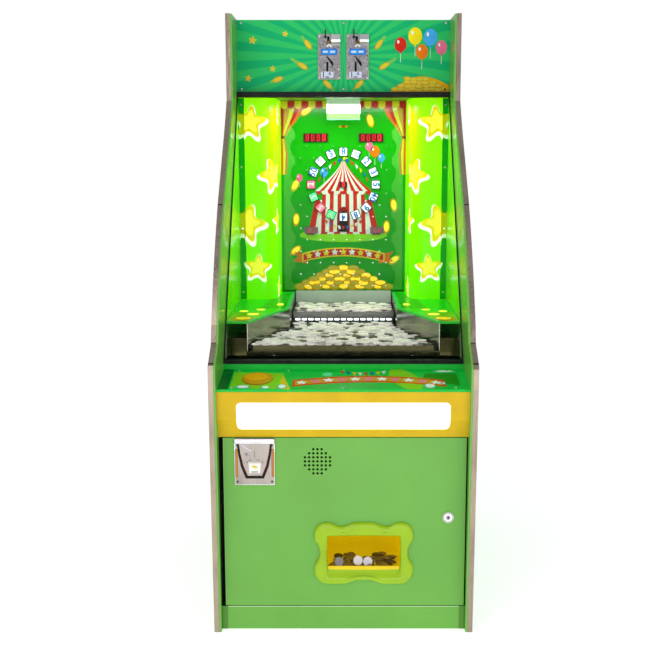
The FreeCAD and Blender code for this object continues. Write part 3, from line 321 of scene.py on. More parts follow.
def make_materials():
    made = {
        "laminate": laminate("green_laminate", GREEN, 0.35),
        "door": laminate("door_laminate", srgb(107, 172, 68), 0.2),
        "carcass": laminate("carcass_laminate", srgb(84, 150, 44), 0.15),
        "trim": brushed("edge_trim_steel", srgb(170, 154, 136), (1, 1, 0.06), (1.06, 0.732, 0.693)),
        "grey_steel": brushed("grey_steel", srgb(150, 150, 148), (0.06, 1, 1)),
        "sheet_steel": brushed("sheet_steel", srgb(176, 166, 158), (1, 1, 0.1)),
        "mirror": polished("mirror_steel", srgb(140, 140, 124)),
        # The olive tint of this mirror steel is a painted reflection of the cabinet's inside.
        "mirror_painted_reflection": polished("mirror_painted_reflection", srgb(84, 80, 48), 0.12),
        # The bed's dark olive is painted shade that shows in the gaps between the tokens.
        "bed": polished("bed_steel", srgb(72, 70, 46), 0.16),
        "chrome": polished("chrome", srgb(225, 225, 225), 0.05),
        "channel": plastic("black_channel", srgb(8, 8, 9), 0.6, 0.0),
        "rubber": plastic("black_rubber", srgb(14, 14, 14), 0.7, 0.0),
        "glass": clear("window_glass", srgb(20, 40, 28), 0.05),
        "acrylic": clear("clear_acrylic", srgb(150, 240, 120), 0.16),
        "yellow": plastic("yellow_housing", srgb(212, 174, 0), 0.45, 0.0),
        "opal": ink("opal_diffuser", srgb(255, 255, 250), 1.05),
        "lamp": ink("lamp_lens", srgb(235, 250, 250), 3.0),
        "marquee": sunburst("marquee_print", (0.0, 1.468), srgb(0, 168, 104), srgb(48, 190, 98), 34, 0.1),
        # The glow on the wing, stage, shelf and deck prints is painted light; these panels hold no lamp.
        "wing": glowing_print("wing_print", srgb(96, 220, 0), srgb(150, 245, 0), 0.76, 1.35, 0.75),
        "stage": glowing_print("stage_print", srgb(0, 134, 4), srgb(18, 142, 0), 0.76, 1.35, 0.16),
        # The dark green strip at each wing's wall edge is painted shade; its glow is painted light.
        "shaded_flange": ink("wing_flange_painted_shade", srgb(0, 165, 15), 0.08),
        "shelf": ink("shelf_print", srgb(16, 176, 56), 0.14),
        "deck": ink("deck_print", srgb(30, 195, 20), 0.15),
        "cast": cast_grain("cast_acceptor", srgb(150, 146, 150)),
        "plastic": plastic("black_plastic", srgb(16, 16, 17), 0.4, 0.1),
        "display": plastic("display_window", srgb(60, 4, 6), 0.12, 0.8),
        "segment": ink("lit_segment", srgb(255, 30, 20), 2.2),
        "tile": ink("tile_lens", srgb(228, 236, 250), 0.45),
        "chute": plastic("chute_plastic", srgb(225, 232, 228), 0.35, 0.1),
        "bezel": plastic("bezel_moulding", srgb(152, 190, 14), 0.22, 0.2),
        # The tray's glow is painted light; the tray holds no lamp.
        "tray": plastic("tray_moulding_painted_glow", srgb(204, 178, 0), 0.3, 0.1).glow(0.4),
        "motor": plastic("motor_enamel", srgb(70, 74, 78), 0.4, 0.1),
        "circuit": plastic("circuit_board", srgb(10, 80, 40), 0.4, 0.3),
        "token": token_metal("token_metal", srgb(244, 234, 234)),
        "amber": plastic("amber_strip", srgb(186, 112, 12), 0.2, 0.6),
    }
    for name, colour in INKS.items():
        made[f"ink_{name}"] = ink(f"ink_{name}", colour)
        # The lit copies are darker inks that glow: painted light on the prints.
        if name not in UNLIT:
            made[f"lit_{name}"] = ink(f"lit_{name}", tinted(colour, 0.56), 0.18)
    # The glow of the yellow, star and amber inks is painted light; they hold no lamp.
    made["glow_yellow"] = ink("glow_yellow", srgb(255, 250, 70), 0.7)
    made["star_white"] = ink("star_white", srgb(250, 255, 235), 0.75)
    made["star_yellow"] = ink("star_yellow", srgb(235, 215, 10), 0.45)
    # star_glow is the brighter, raised middle of each star: a painted highlight.
    made["star_glow"] = ink("star_glow", srgb(255, 246, 60), 0.55)
    # The side walls' print glows as painted light.
    made["wall"] = glowing_print("wall_print", srgb(96, 205, 10), srgb(120, 225, 10), 0.76, 1.35, 0.25)
    made["glow_amber"] = ink("glow_amber", srgb(248, 205, 40), 0.5)
    made["glow_green"] = ink("glow_green", srgb(70, 225, 130), 0.8)
    made["glow_pink"] = ink("glow_pink", srgb(250, 90, 130), 0.8)
    made["segment_dim"] = ink("segment_dim", srgb(190, 15, 15), 0.5)
    # A darker copy of the token material: painted shade on the tokens in the tray.
    made["shaded_token"] = token_metal("shaded_token", srgb(110, 90, 45))
    # Dimmer copies of the star colours for star parts on the wing's edge strip: painted shade.
    made["flange_shaded_white"] = ink("flange_shaded_white", srgb(225, 240, 200), 0.3)
    made["flange_shaded_yellow"] = ink("flange_shaded_yellow", srgb(205, 200, 0), 0.2)
    made["bright_token"] = token_metal("bright_token", srgb(206, 202, 208))
    made["band"] = brushed("band_steel", srgb(226, 224, 234), (0.1, 1, 1))
    made["mouth"] = plastic("mouth_plastic", srgb(236, 234, 226), 0.3, 0.5)
    made["soft_edge"] = plastic("soft_edge", srgb(150, 208, 118), 0.3, 0.2)
    made["wiper"] = plastic("wiper_steel", srgb(196, 200, 198), 0.3, 0.2)
    made["shadow"] = plastic("shadow_black", srgb(4, 5, 4), 0.8, 0.0)
    # The coin gates' brown-gold colour is a painted reflection.
    made["gate_painted_reflection"] = polished("bronze_reflection", srgb(150, 110, 70), 0.12)
    # Darker green beside the kick panel: the painted shadow of the side panels.
    made["filler"] = laminate("filler_laminate", srgb(84, 142, 44), 0.1)
    made["pale_edge"] = plastic("pale_edge", srgb(206, 232, 190), 0.3, 0.2)
    return {name: surface.material for name, surface in made.items()}


MATERIALS = make_materials()

CAD_FINISH = {
    "laminate": ["side_panel_left", "side_panel_right"],
    "door": ["front_door", "kick_panel"],
    "carcass": ["base_board", "top_board", "ceiling_board", "back_panel", "rear_door"],
    "trim": ["edge_trim_left", "edge_trim_right"],
    "marquee": ["marquee_panel"],
    "channel": ["glass_top_channel", "glass_bottom_channel"],
    "rubber": ["glass_gaskets", "ticket_roller"],
    "glass": ["front_glass"],
    "shelf": ["shelf_panel"],
    "yellow": ["light_box_housing"],
    "opal": ["light_box_diffuser", "light_tubes"],
    "wing": ["wing_panel_left", "wing_panel_right"],
    "stage": ["backboard"],
    "display": ["score_displays"],
    "chute": ["coin_chute"],
    "chrome": ["peg_pins", "panel_screws", "door_lock", "door_lock_cam", "rear_lock_cam"],
    "acrylic": ["side_guides"],
    "wiper": ["wiper_bar"],
    "grey_steel": ["pusher", "crank_disc"],
    "shadow": ["door_frame", "hinge_pins"],
    "deck": ["deck_left", "deck_right"],
    "mirror": ["bed_side_rails"],
    "mirror_painted_reflection": ["win_chute"],
    "bed": ["lower_bed"],
    "cast": ["coin_acceptor_left", "coin_acceptor_right"],
    "plastic": ["return_lever_left", "return_lever_right", "power_inlet", "speaker"],
    "motor": ["gear_motor"],
    "sheet_steel": ["cash_box", "power_supply", "ticket_dispenser", "ticket_plate"],
    "circuit": ["control_board"],
    "lamp": ["pusher_lights"],
    "tile": ["number_tiles"],
    "bezel": ["tray_bezel"],
    "tray": ["prize_tray"],
    "token": ["tokens_bed", "tokens_pusher"],
}


def finish_cad_nodes():
    for finish, names in CAD_FINISH.items():
        for name in names:
            mesh = NODES[name].data
            mesh.materials.clear()
            mesh.materials.append(MATERIALS[finish])


# ------------------------------------------------------------------ geometry helpers
def new_object(name, mesh, body, slot=None):
    piece = bpy.data.objects.new(name, mesh)
    bpy.context.scene.collection.objects.link(piece)
    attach(piece, body)
    return piece


def ellipse(cx, cz, rx, rz=None, start=0.0, stop=360.0, count=36):
    """Points round an ellipse, or along part of it."""
    rz = rx if rz is None else rz
    whole = abs(stop - start) >= 360
    steps = count if whole else count - 1
    angles = [math.radians(start + (stop - start) * i / steps) for i in range(count)]
    return [(cx + rx * math.cos(a), cz + rz * math.sin(a)) for a in angles]


def rectangle(x0, z0, x1, z1):
    return [(x0, z0), (x1, z0), (x1, z1), (x0, z1)]


def rounded(x0, z0, x1, z1, radius, count=6):
    """A rectangle with round corners."""
    points = []
    for cx, cz, start in ((x1 - radius, z1 - radius, 0), (x0 + radius, z1 - radius, 90),
                          (x0 + radius, z0 + radius, 180), (x1 - radius, z0 + radius, 270)):
        points += ellipse(cx, cz, radius, start=start, stop=start + 90, count=count)
    return points


def puffy_star(cx, cz, radius, turn=0.0, lobes=5, count=80):
    """A soft star with round tips."""
    points = []
    for i in range(count):
        angle = 2 * math.pi * i / count
        wave = math.cos(lobes * angle)
        reach = radius * (0.745 + 0.215 * wave + 0.04 * math.cos(2 * lobes * angle))
        points.append((cx + reach * math.sin(angle + turn), cz + reach * math.cos(angle + turn)))
    return points


def bow(start, stop, sag, count=12):
    """Points of a shallow curve between two places, bulging to the left of its run by sag."""
    (x0, z0), (x1, z1) = start, stop
    length = math.hypot(x1 - x0, z1 - z0)
    nx, nz = -(z1 - z0) / length, (x1 - x0) / length
    points = []
    for i in range(count):
        share = i / (count - 1)
        lift = 4 * sag * share * (1 - share)
        points.append((x0 + (x1 - x0) * share + nx * lift, z0 + (z1 - z0) * share + nz * lift))
    return points


class Print:
    """Thin printed shapes collected into one object. place(u, v, lift) says where a point of the flat
    drawing goes; each layer lies on the one below."""

    LAYER = 0.00025

    def __init__(self, name, body, place, slot):
        self.name = name
        self.body = body
        self.place = place
        self.slot = slot
        self.mesh = bmesh.new()
        self.finishes = []

    def index(self, finish):
        if finish not in self.finishes:
            self.finishes.append(finish)
        return self.finishes.index(finish)

    def add(self, points, finish, layer=1, rings=1):
        """A closed shape. rings above 1 fills it from its middle, so that it can follow a curved panel."""
        slot = self.index(finish)
        top = self.LAYER * layer
        count = len(points)
        cu = sum(p[0] for p in points) / count
        cv = sum(p[1] for p in points) / count
        loops = []
        for ring in range(1, rings + 1):
            share = ring / rings
            loops.append([self.mesh.verts.new(self.place(cu + (u - cu) * share, cv + (v - cv) * share, top))
                          for u, v in points])
        low = [self.mesh.verts.new(self.place(u, v, 0.0)) for u, v in points]
        faces = []
        if rings == 1:
            faces.append(self.mesh.faces.new(loops[0]))
        else:
            middle = self.mesh.verts.new(self.place(cu, cv, top))
            for i in range(count):
                j = (i + 1) % count
                faces.append(self.mesh.faces.new((middle, loops[0][i], loops[0][j])))
                for inner, outer in zip(loops, loops[1:]):
                    faces.append(self.mesh.faces.new((inner[i], outer[i], outer[j], inner[j])))
        for i in range(count):
            j = (i + 1) % count
            faces.append(self.mesh.faces.new((loops[-1][j], loops[-1][i], low[i], low[j])))
        for face in faces:
            face.material_index = slot

    def done(self):
        bmesh.ops.recalc_face_normals(self.mesh, faces=self.mesh.faces)
        data = bpy.data.meshes.new(self.name)
        self.mesh.to_mesh(data)
        self.mesh.free()
        for finish in self.finishes:
            data.materials.append(MATERIALS[finish])
        return new_object(self.name, data, self.body, self.slot)


def on_front(y):
    """Places a drawing on a panel that faces the front at depth y."""
    return lambda u, v, lift: Vector((u, y - lift, v))


def on_top(z):
    """Places a drawing on a level surface; the drawing's v is the depth."""
    return lambda u, v, lift: Vector((u, v, z + lift))


def bevel_mesh(name, build, body, finish, slot, bevel=0.0, segments=2, smooth=True):
    """A mesh from a function that fills a bmesh, with its sharp edges softened."""
    work = bmesh.new()
    build(work)
    bmesh.ops.recalc_face_normals(work, faces=work.faces)
    if bevel:
        sharp = [e for e in work.edges if len(e.link_faces) == 2 and e.calc_face_angle(0) > math.radians(35)]
        bmesh.ops.bevel(work, geom=sharp, offset=bevel, segments=segments, profile=0.6, affect="EDGES",
                        clamp_overlap=True)
    for face in work.faces:
        face.smooth = smooth
    data = bpy.data.meshes.new(name)
    work.to_mesh(data)
    work.free()
    data.materials.append(MATERIALS[finish])
    piece = new_object(name, data, body, slot)
    if smooth:
        edge = piece.modifiers.new("edges", "EDGE_SPLIT")
        edge.split_angle = math.radians(40)
    return piece


def add_prism(work, outline, y_front, y_back):
    """A straight-sided solid whose front view is an outline."""
    front = [work.verts.new((x, y_front, z)) for x, z in outline]
    back = [work.verts.new((x, y_back, z)) for x, z in outline]
    work.faces.new(front)
    work.faces.new(list(reversed(back)))
    count = len(outline)
    for i in range(count):
        j = (i + 1) % count
        work.faces.new((front[i], back[i], back[j], front[j]))


def add_rod(work, start, stop, radius, count=20):
    """A round bar between two points."""
    start, stop = Vector(start), Vector(stop)
    turn = (stop - start).to_track_quat("Z", "Y")
    rings = []
    for end in (start, stop):
        rings.append([work.verts.new(end + turn @ Vector((radius * math.cos(2 * math.pi * i / count),
                                                          radius * math.sin(2 * math.pi * i / count), 0)))
                      for i in range(count)])
    work.faces.new(rings[0])
    work.faces.new(list(reversed(rings[1])))
    for i in range(count):
        j = (i + 1) % count
        work.faces.new((rings[0][i], rings[1][i], rings[1][j], rings[0][j]))


# ------------------------------------------------------------------ tokens
def token_rings(radius, thick):
    """Half profile of a token with a raised rim, as (radius, height) from its middle outwards."""
    rim = radius * 0.88
    half = thick / 2
    sink = thick * 0.12
    return [(rim * 0.96, half - sink), (rim, half), (radius * 0.985, half), (radius, half * 0.6),
            (radius, -half * 0.6), (radius * 0.985, -half), (rim, -half), (rim * 0.96, -half + sink)]


def token_heap(name, spots, body, slot, finish="token", count=16):
    """Many tokens in one mesh. Each spot is (centre, tilt quaternion)."""
    radius, thick = 0.012, 0.0018
    profile = token_rings(radius, thick)
    vertices, faces, tones = [], [], []
    for centre, tilt in spots:
        base = len(vertices)
        tone_and_shade = random.random()
        for reach, height in profile:
            for i in range(count):
                angle = 2 * math.pi * i / count
                vertices.append(centre + tilt @ Vector((reach * math.cos(angle), reach * math.sin(angle),
                                                        height)))
        for ring in range(len(profile) - 1):
            for i in range(count):
                j = (i + 1) % count
                a, b = base + ring * count, base + (ring + 1) * count
                faces.append((a + i, b + i, b + j, a + j))
        faces.append(tuple(base + i for i in range(count)))
        last = base + (len(profile) - 1) * count
        faces.append(tuple(last + i for i in reversed(range(count))))
        tones += [tone_and_shade] * (len(profile) * count)
    mesh = bpy.data.meshes.new(name)
    mesh.from_pydata(vertices, [], faces)
    attribute = mesh.attributes.new("tone_and_shade", "FLOAT", "POINT")
    attribute.data.foreach_set("value", tones)
    mesh.update()
    mesh.materials.append(MATERIALS[finish])
    return new_object(name, mesh, body, slot)


def tilt_by(most):
    """A random lean of up to most degrees about a random level axis."""
    heading = random.uniform(0, 2 * math.pi)
    lean = math.radians(random.uniform(0, most))
    return Quaternion((math.cos(heading), math.sin(heading), 0), lean) @ Quaternion((0, 0, 1), heading)


def spread_tokens(inside, x_range, y_range, level, layers):
    """Staggered layers of tokens where inside(x, y) allows. A layer is (height, pitch, share, lean)."""
    spots = []
    for height, pitch, share, lean in layers:
        row = 0
        y = y_range[0]
        while y <= y_range[1]:
            x = x_range[0] + (pitch / 2 if row % 2 else 0)
            while x <= x_range[1]:
                px = x + random.uniform(-0.12, 0.12) * pitch * (1 + lean / 4)
                py = y + random.uniform(-0.12, 0.12) * pitch * (1 + lean / 4)
                if random.random() < share and inside(px, py):
                    lift = height + random.uniform(0, 0.0007) * lean / 4
                    spots.append((Vector((px, py, level + lift)), tilt_by(lean)))
                x += pitch
            y += pitch * 0.87
            row += 1
    return spots


def make_tokens():
    bed_low, bed_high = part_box("lower_bed")
    rail_low, rail_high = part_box("bed_side_rails")
    pusher_low, pusher_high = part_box("pusher")
    radius = 0.0135
    waist_half = pusher_high.x + 0.003
    flare_half = rail_high.x - 0.002
    flare_front = rail_low.y
    waist = FRONT + 0.497

    def on_bed(x, y):
        share = (waist - y) / (waist - flare_front)
        half = waist_half + max(0.0, min(1.0, share)) * (flare_half - waist_half)
        return abs(x) < half - radius

    bed = spread_tokens(on_bed, (-flare_half, flare_half), (bed_low.y + 0.011, pusher_low.y - 0.056),
                        bed_high.z + 0.0012,
                        ((0.0, 0.0235, 0.95, 0.8), (0.0021, 0.027, 0.8, 3.0), (0.0042, 0.031, 0.6, 5.0)))
    piece = token_heap("bed_token_heap", bed, "cabinet", "token_metal")
    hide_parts("tokens_bed")

    wiper_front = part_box("wiper_bar")[0].y
    travel = 0.026
    shelf_top = pusher_high.z + 0.0012
    shelf = spread_tokens(lambda x, y: abs(x) < pusher_high.x - radius, (-pusher_high.x, pusher_high.x),
                          (pusher_low.y + 0.011, wiper_front - travel - radius), shelf_top,
                          ((0.0, 0.0235, 0.95, 0.8), (0.0021, 0.027, 0.85, 3.0), (0.0042, 0.029, 0.7, 5.0),
                           (0.0064, 0.034, 0.5, 7.0)))
    piece = token_heap("pusher_token_heap", shelf, "pusher", "token_metal")
    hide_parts("tokens_pusher")


# ------------------------------------------------------------------ marquee
def draw_balloon(art, cx, cz, radius, colour, layer=1, glow="ink"):
    art.add([(cx - 0.0006, cz - radius * 2.6), (cx + 0.0006, cz - radius * 2.6), (cx + 0.0004, cz - radius),
             (cx - 0.0004, cz - radius)], f"{glow}_white", layer)
    art.add([(cx, cz - radius * 1.05), (cx - radius * 0.18, cz - radius * 1.3),
             (cx + radius * 0.18, cz - radius * 1.3)],
            f"{glow}_{colour}", layer + 1)
    art.add(ellipse(cx, cz, radius * 0.9, radius * 1.1), f"{glow}_{colour}", layer + 1)
    art.add(ellipse(cx - radius * 0.35, cz + radius * 0.4, radius * 0.16, radius * 0.26), f"{glow}_white",
            layer + 2)


def streak(art, x, z, heading, length, half_width):
    """A flying coin: a long gold ellipse whose tail fades into the print."""
    c, d = math.cos(heading), math.sin(heading)

    def turned(points):
        return [(x + px * c - pz * d, z + px * d + pz * c) for px, pz in points]

    art.add(turned([(0.0, -half_width * 0.9), (length, -half_width * 0.5), (length, half_width * 0.5),
                    (0.0, half_width * 0.9)]), "ink_fade", 1)
    art.add(turned(ellipse(0.0, 0.0, half_width * 2.2, half_width, count=30)), "ink_amber", 2)
    art.add(turned(ellipse(0.001, 0.0, half_width * 1.95, half_width * 0.78, count=30)), "ink_straw", 3)


def make_marquee():
    low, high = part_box("marquee_panel")
    art = Print("marquee_print_art", "cabinet", on_front(low.y), "printed_marquee")
    rng = random.Random(3)
    for x, z, heading, length in ((0.102, 1.500, 0.9, 0.030), (0.118, 1.440, 0.55, 0.040),
                                  (0.046, 1.388, -2.35, 0.026),
                                  (0.190, 1.402, -0.35, 0.024)):
        for sign in (-1, 1):
            streak(art, sign * x, z, heading if sign > 0 else math.pi - heading, length, 0.0075)
    right = high.x
    for cx, cz, radius, colour in ((right - 0.142, 1.500, 0.019, "red"),
                                   (right - 0.100, 1.524, 0.022, "yellow"),
                                   (right - 0.056, 1.520, 0.022, "sky"),
                                   (right - 0.024, 1.492, 0.018, "pink"),
                                   (right - 0.080, 1.480, 0.019, "orange")):
        draw_balloon(art, cx, cz, radius, colour, 2)
    middle = right - 0.086
    mound = [(right - 0.001, low.z + 0.001), (middle - 0.085, low.z + 0.001),
             *bow((middle - 0.085, low.z + 0.002), (middle, low.z + 0.046), 0.006, 10),
             *bow((middle, low.z + 0.046), (right - 0.001, low.z + 0.020), 0.006, 10)]
    art.add(mound, "ink_gold", 6)
    for row in range(4):
        for i in range(9 - 2 * row):
            x = middle + (i - (8 - 2 * row) / 2) * 0.0175 + rng.uniform(-0.003, 0.003)
            z = low.z + 0.008 + row * 0.0098 + rng.uniform(-0.0015, 0.0015)
            if x + 0.012 < right:
                art.add(ellipse(x, z, 0.0115, 0.0062, count=24), "ink_amber", 7 + 2 * (i % 2))
                art.add(ellipse(x, z + 0.0009, 0.0103, 0.0048, count=24), "ink_straw", 8 + 2 * (i % 2))
    for x, z, radius in ((-0.262, 1.512, 0.012), (-0.205, 1.432, 0.009), (-0.168, 1.530, 0.009),
                         (-0.276, 1.405, 0.010)):
        art.add(puffy_star(x, z, radius, 0.2, count=50), "ink_straw", 2)
    art.done()


def make_acceptor_details():
    """The chrome coin guide, blue label, lever, slots and screws of each acceptor."""
    for side in ("left", "right"):
        low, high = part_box(f"coin_acceptor_{side}")
        centre = (low.x + high.x) / 2
        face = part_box("marquee_panel")[0].y - 0.003
        top = high.z
        reach = 0.0088

        def guide(work):
            count = 14
            rows = []
            for i in range(count):
                share = i / (count - 1)
                z = top - 0.0005 - 0.0325 * share
                bulge = math.sin(math.pi * min(1.0, share * 1.15)) ** 0.6 if share < 0.87 else 0.42
                y = face - 0.0002 - reach * max(0.25, bulge)
                rows.append((y, z))
            x0, x1 = centre + 0.0062, centre + 0.0322
            strips = [[work.verts.new((x, y, z)) for y, z in rows] for x in (x0, x1)]
            backs = [[work.verts.new((x, face - SKIN, z)) for _, z in rows] for x in (x0, x1)]
            for i in range(count - 1):
                work.faces.new((strips[0][i], strips[1][i], strips[1][i + 1], strips[0][i + 1]))
                work.faces.new((backs[0][i], backs[0][i + 1], backs[1][i + 1], backs[1][i]))
                work.faces.new((strips[0][i], strips[0][i + 1], backs[0][i + 1], backs[0][i]))
                work.faces.new((strips[1][i + 1], strips[1][i], backs[1][i], backs[1][i + 1]))
            work.faces.new((strips[0][0], backs[0][0], backs[1][0], strips[1][0]))
            work.faces.new((strips[0][-1], strips[1][-1], backs[1][-1], backs[0][-1]))

        bevel_mesh(f"coin_guide_{side}", guide, "cabinet", "chrome", "lock_chrome")

        def blocks(work):
            add_prism(work, rounded(centre - 0.005, top - 0.0275, centre + 0.0055, top - 0.0195, 0.0012, 4),
                      face - 0.0045, face - SKIN)

        bevel_mesh(f"coin_gate_{side}", blocks, "cabinet", "gate_painted_reflection", "lock_chrome", 0.0006)

        def bar(work):
            arch = [(centre - 0.0085, top - 0.0365), (centre - 0.0030, top - 0.0365),
                    (centre - 0.0022, top - 0.0335),
                    (centre + 0.0022, top - 0.0335), (centre + 0.0030, top - 0.0365),
                    (centre + 0.0085, top - 0.0365),
                    *ellipse(centre, top - 0.0365, 0.0085, 0.0085, 0, 180, 12)[1:-1]]
            add_prism(work, arch, face - 0.0035, face - SKIN)

        bevel_mesh(f"coin_arch_{side}", bar, "cabinet", "chute", "lock_chrome", 0.0006)

        def rim(work):
            half = (high.x - low.x) / 2
            width = 0.0016
            for x0, x1, z0, z1 in ((-half, half, top - width, top), (-half, half, low.z, low.z + width),
                                   (-half, -half + width, low.z + width, top - width),
                                   (half - width, half, low.z + width, top - width)):
                add_prism(work, rectangle(centre + x0, z0, centre + x1, z1), face - 0.0012, face + SKIN)

        bevel_mesh(f"acceptor_rim_{side}", rim, "cabinet", "sheet_steel", "lock_chrome", 0.0005)

        label_face = face - 0.002
        art = Print(f"acceptor_label_{side}", "cabinet", on_front(label_face), "cast_plate")
        shape = rounded(centre - 0.0232, top - 0.0585, centre + 0.0232, top - 0.0405, 0.005)
        peak = [(px, pz + 0.0022 * max(0.0, 1 - abs(px - centre) / 0.012) * (1 if pz > top - 0.049 else 0))
                for px, pz in shape]
        art.add(peak, "ink_blue", 1)
        art.add(rounded(centre - 0.0215, top - 0.0568, centre + 0.0215, top - 0.0425, 0.004), "ink_azure", 2)
        for x0, x1 in ((-0.0185, -0.0035), (0.0025, 0.0175)):
            art.add(rounded(centre + x0, top - 0.0525, centre + x1, top - 0.0465, 0.0025, 5), "ink_pale", 3)
        art.done()

        art = Print(f"acceptor_art_{side}", "cabinet", on_front(face), "cast_plate")
        art.add([(centre - 0.0088, top - 0.0625), (centre - 0.0058, top - 0.0615),
                 (centre + 0.0050, top - 0.0720),
                 (centre + 0.0105, top - 0.0790), (centre + 0.0128, top - 0.0880),
                 (centre + 0.0080, top - 0.0885),
                 (centre + 0.0050, top - 0.0830)], "ink_black", 3)
        art.add([(centre - 0.0070, top - 0.0630), (centre - 0.0060, top - 0.0628),
                 (centre + 0.0060, top - 0.0750),
                 (centre + 0.0050, top - 0.0752)], "ink_olive", 4)
        art.add(rounded(centre - 0.0085, top - 0.1050, centre - 0.0025, top - 0.0775, 0.0025), "ink_black", 1)
        art.add(rounded(centre - 0.0240, low.z + 0.0045, centre + 0.0120, low.z + 0.0215, 0.0012, 4),
                "ink_pale", 1)
        art.add(rectangle(centre - 0.0180, low.z + 0.0060, centre - 0.0155, low.z + 0.0210), "ink_black", 2)
        art.add(rectangle(centre - 0.0115, low.z + 0.0055, centre - 0.0010, low.z + 0.0080), "ink_black", 2)
        art.add([(centre - 0.0020, low.z + 0.0120), (centre + 0.0060, low.z + 0.0125),
                 (centre + 0.0035, low.z + 0.0200),
                 (centre - 0.0010, low.z + 0.0200)], "ink_lilac", 2)
        art.done()

        def screws(work):
            for x, z in ((-0.028, 0.005), (0.028, 0.005), (-0.028, 0.1215), (0.0275, 0.030)):
                add_rod(work, (centre + x, face - 0.0018, low.z + z),
                        (centre + x, face + SKIN, low.z + z), 0.0022, 14)

        bevel_mesh(f"acceptor_screws_{side}", screws, "cabinet", "chrome", "screw_steel", 0.0006)


# ------------------------------------------------------------------ wings
def wing_profile():
    """Points of the right wing seen from above, from the wall round to the stage."""
    low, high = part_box("wing_panel_right")
    radius = 0.050
    wall = high.x
    front = low.y
    stage = low.x
    back = high.y
    rise = back - front - radius
    lean = 0.0387
    centre = Vector((stage + radius * math.cos(lean) + rise * math.tan(lean), front + radius))
    points = [Vector((wall, front)), Vector((centre.x, front))]
    sweep = math.pi / 2 - lean
    steps = 24
    for i in range(1, steps + 1):
        angle = math.pi / 2 + sweep * i / steps
        points.append(centre + Vector((radius * math.cos(angle), -radius * math.sin(angle))))
    points.append(Vector((stage, back)))
    return points


def on_wing(sign):
    """Places a drawing on a wing: u is the run along its surface from the wall, v the height."""
    points = wing_profile()
    runs = [0.0]
    for a, b in zip(points, points[1:]):
        runs.append(runs[-1] + (b - a).length)

    def place(u, v, lift):
        u = max(0.0, min(runs[-1] - 1e-6, u))
        k = max(i for i, run in enumerate(runs[:-1]) if run <= u)
        along = (points[k + 1] - points[k]).normalized()
        spot = points[k] + along * (u - runs[k])
        out = Vector((along.y, -along.x))
        if out.y > 0:
            out = -out
        spot = spot + out * lift
        return Vector((sign * spot.x, spot.y, v))

    return place


WING_STARS = ((0.034, 0.880, 0.056, 0.12), (0.106, 0.625, 0.054, -0.35), (0.020, 0.383, 0.066, 0.30),
              (0.140, 0.394, 0.040, -0.15), (0.052, 0.162, 0.045, 0.10),
              (0.170, 0.043, 0.040, 0.15), (0.176, 0.930, 0.034, 0.20))


def make_wings():
    low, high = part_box("wing_panel_right")
    shaded_flange = 0.0175
    for side, sign in (("left", -1), ("right", 1)):
        place = on_wing(sign)
        art = Print(f"wing_art_{side}", "cabinet", place, "printed_stage")
        # The edge strip is printed dark green as painted shade; star parts on it take the dimmer copies.
        art.add(rectangle(0.0, low.z + 0.001, shaded_flange, high.z - 0.001), "shaded_flange", 1)
        for u, v, radius, turn in WING_STARS:
            height = low.z + v * (high.z - low.z)
            # The third layer, smaller and raised a little, is a painted highlight on each star.
            layers = ((radius, -0.09, "white"), (radius * 0.87, 0.02, "yellow"),
                      (radius * 0.60, 0.05, "glow"))
            for layer, (reach, raised, colour) in enumerate(layers, start=2):
                shape = puffy_star(u, height + raised * radius, reach, turn)
                lit = [(max(shaded_flange, pu), pv) for pu, pv in shape]
                if min(pu for pu, _ in shape) < shaded_flange:
                    unlit = [(min(shaded_flange, max(0.0005, pu)), pv) for pu, pv in shape]
                    art.add(unlit, "flange_shaded_white" if colour == "white" else "flange_shaded_yellow", layer, 4)
                if max(pu for pu, _ in shape) > shaded_flange:
                    art.add(lit, f"star_{colour}", layer, 9)
        art.done()


# ------------------------------------------------------------------ backboard
def tent_roof(art, apex, foot_z, half, layer):
    """A striped roof whose sides sweep out from its tip."""
    stripes = 14
    rows = 7

    def edge(share, height_share):
        reach = half * (0.05 + 0.95 * height_share ** 1.35)
        return (apex[0] + reach * (2 * share - 1), apex[1] - (apex[1] - foot_z) * height_share)

    for i in range(stripes):
        left = [edge(i / stripes, r / (rows - 1)) for r in range(rows)]
        right = [edge((i + 1) / stripes, r / (rows - 1)) for r in reversed(range(rows))]
        art.add(left + right, "lit_red" if i % 2 else "lit_white", layer)
    scallops = 9
    for i in range(scallops):
        x0 = apex[0] - half + 2 * half * i / scallops
        width = 2 * half / scallops
        drop = ellipse(x0 + width / 2, foot_z, width / 2, 0.011, 180, 360, 8)
        art.add(drop, "lit_white" if i % 2 else "lit_red", layer)


def striped_wall(art, left, right, foot, head, count, layer):
    """Upright stripes between two slanting sides: left and right are (x at the foot, x at the head)."""
    for i in range(count):
        a, b = i / count, (i + 1) / count
        art.add([(left[0] + (right[0] - left[0]) * a, foot), (left[0] + (right[0] - left[0]) * b, foot),
                 (left[1] + (right[1] - left[1]) * b, head), (left[1] + (right[1] - left[1]) * a, head)],
                "lit_white" if i % 2 else "lit_red", layer)


def bunting(art, start, stop, sag, count, size, layer, glow="lit"):
    """A string of small pennants."""
    line = bow(start, stop, sag, count + 1)
    colours = ("red", "blue", "yellow", "white")
    for i, (a, b) in enumerate(zip(line, line[1:])):
        middle = ((a[0] + b[0]) / 2, (a[1] + b[1]) / 2 - size)
        shrink = 0.12
        left = (a[0] + (b[0] - a[0]) * shrink, a[1] + (b[1] - a[1]) * shrink)
        right = (b[0] - (b[0] - a[0]) * shrink, b[1] - (b[1] - a[1]) * shrink)
        art.add([left, middle, right], f"{glow}_{colours[i % 4]}", layer)


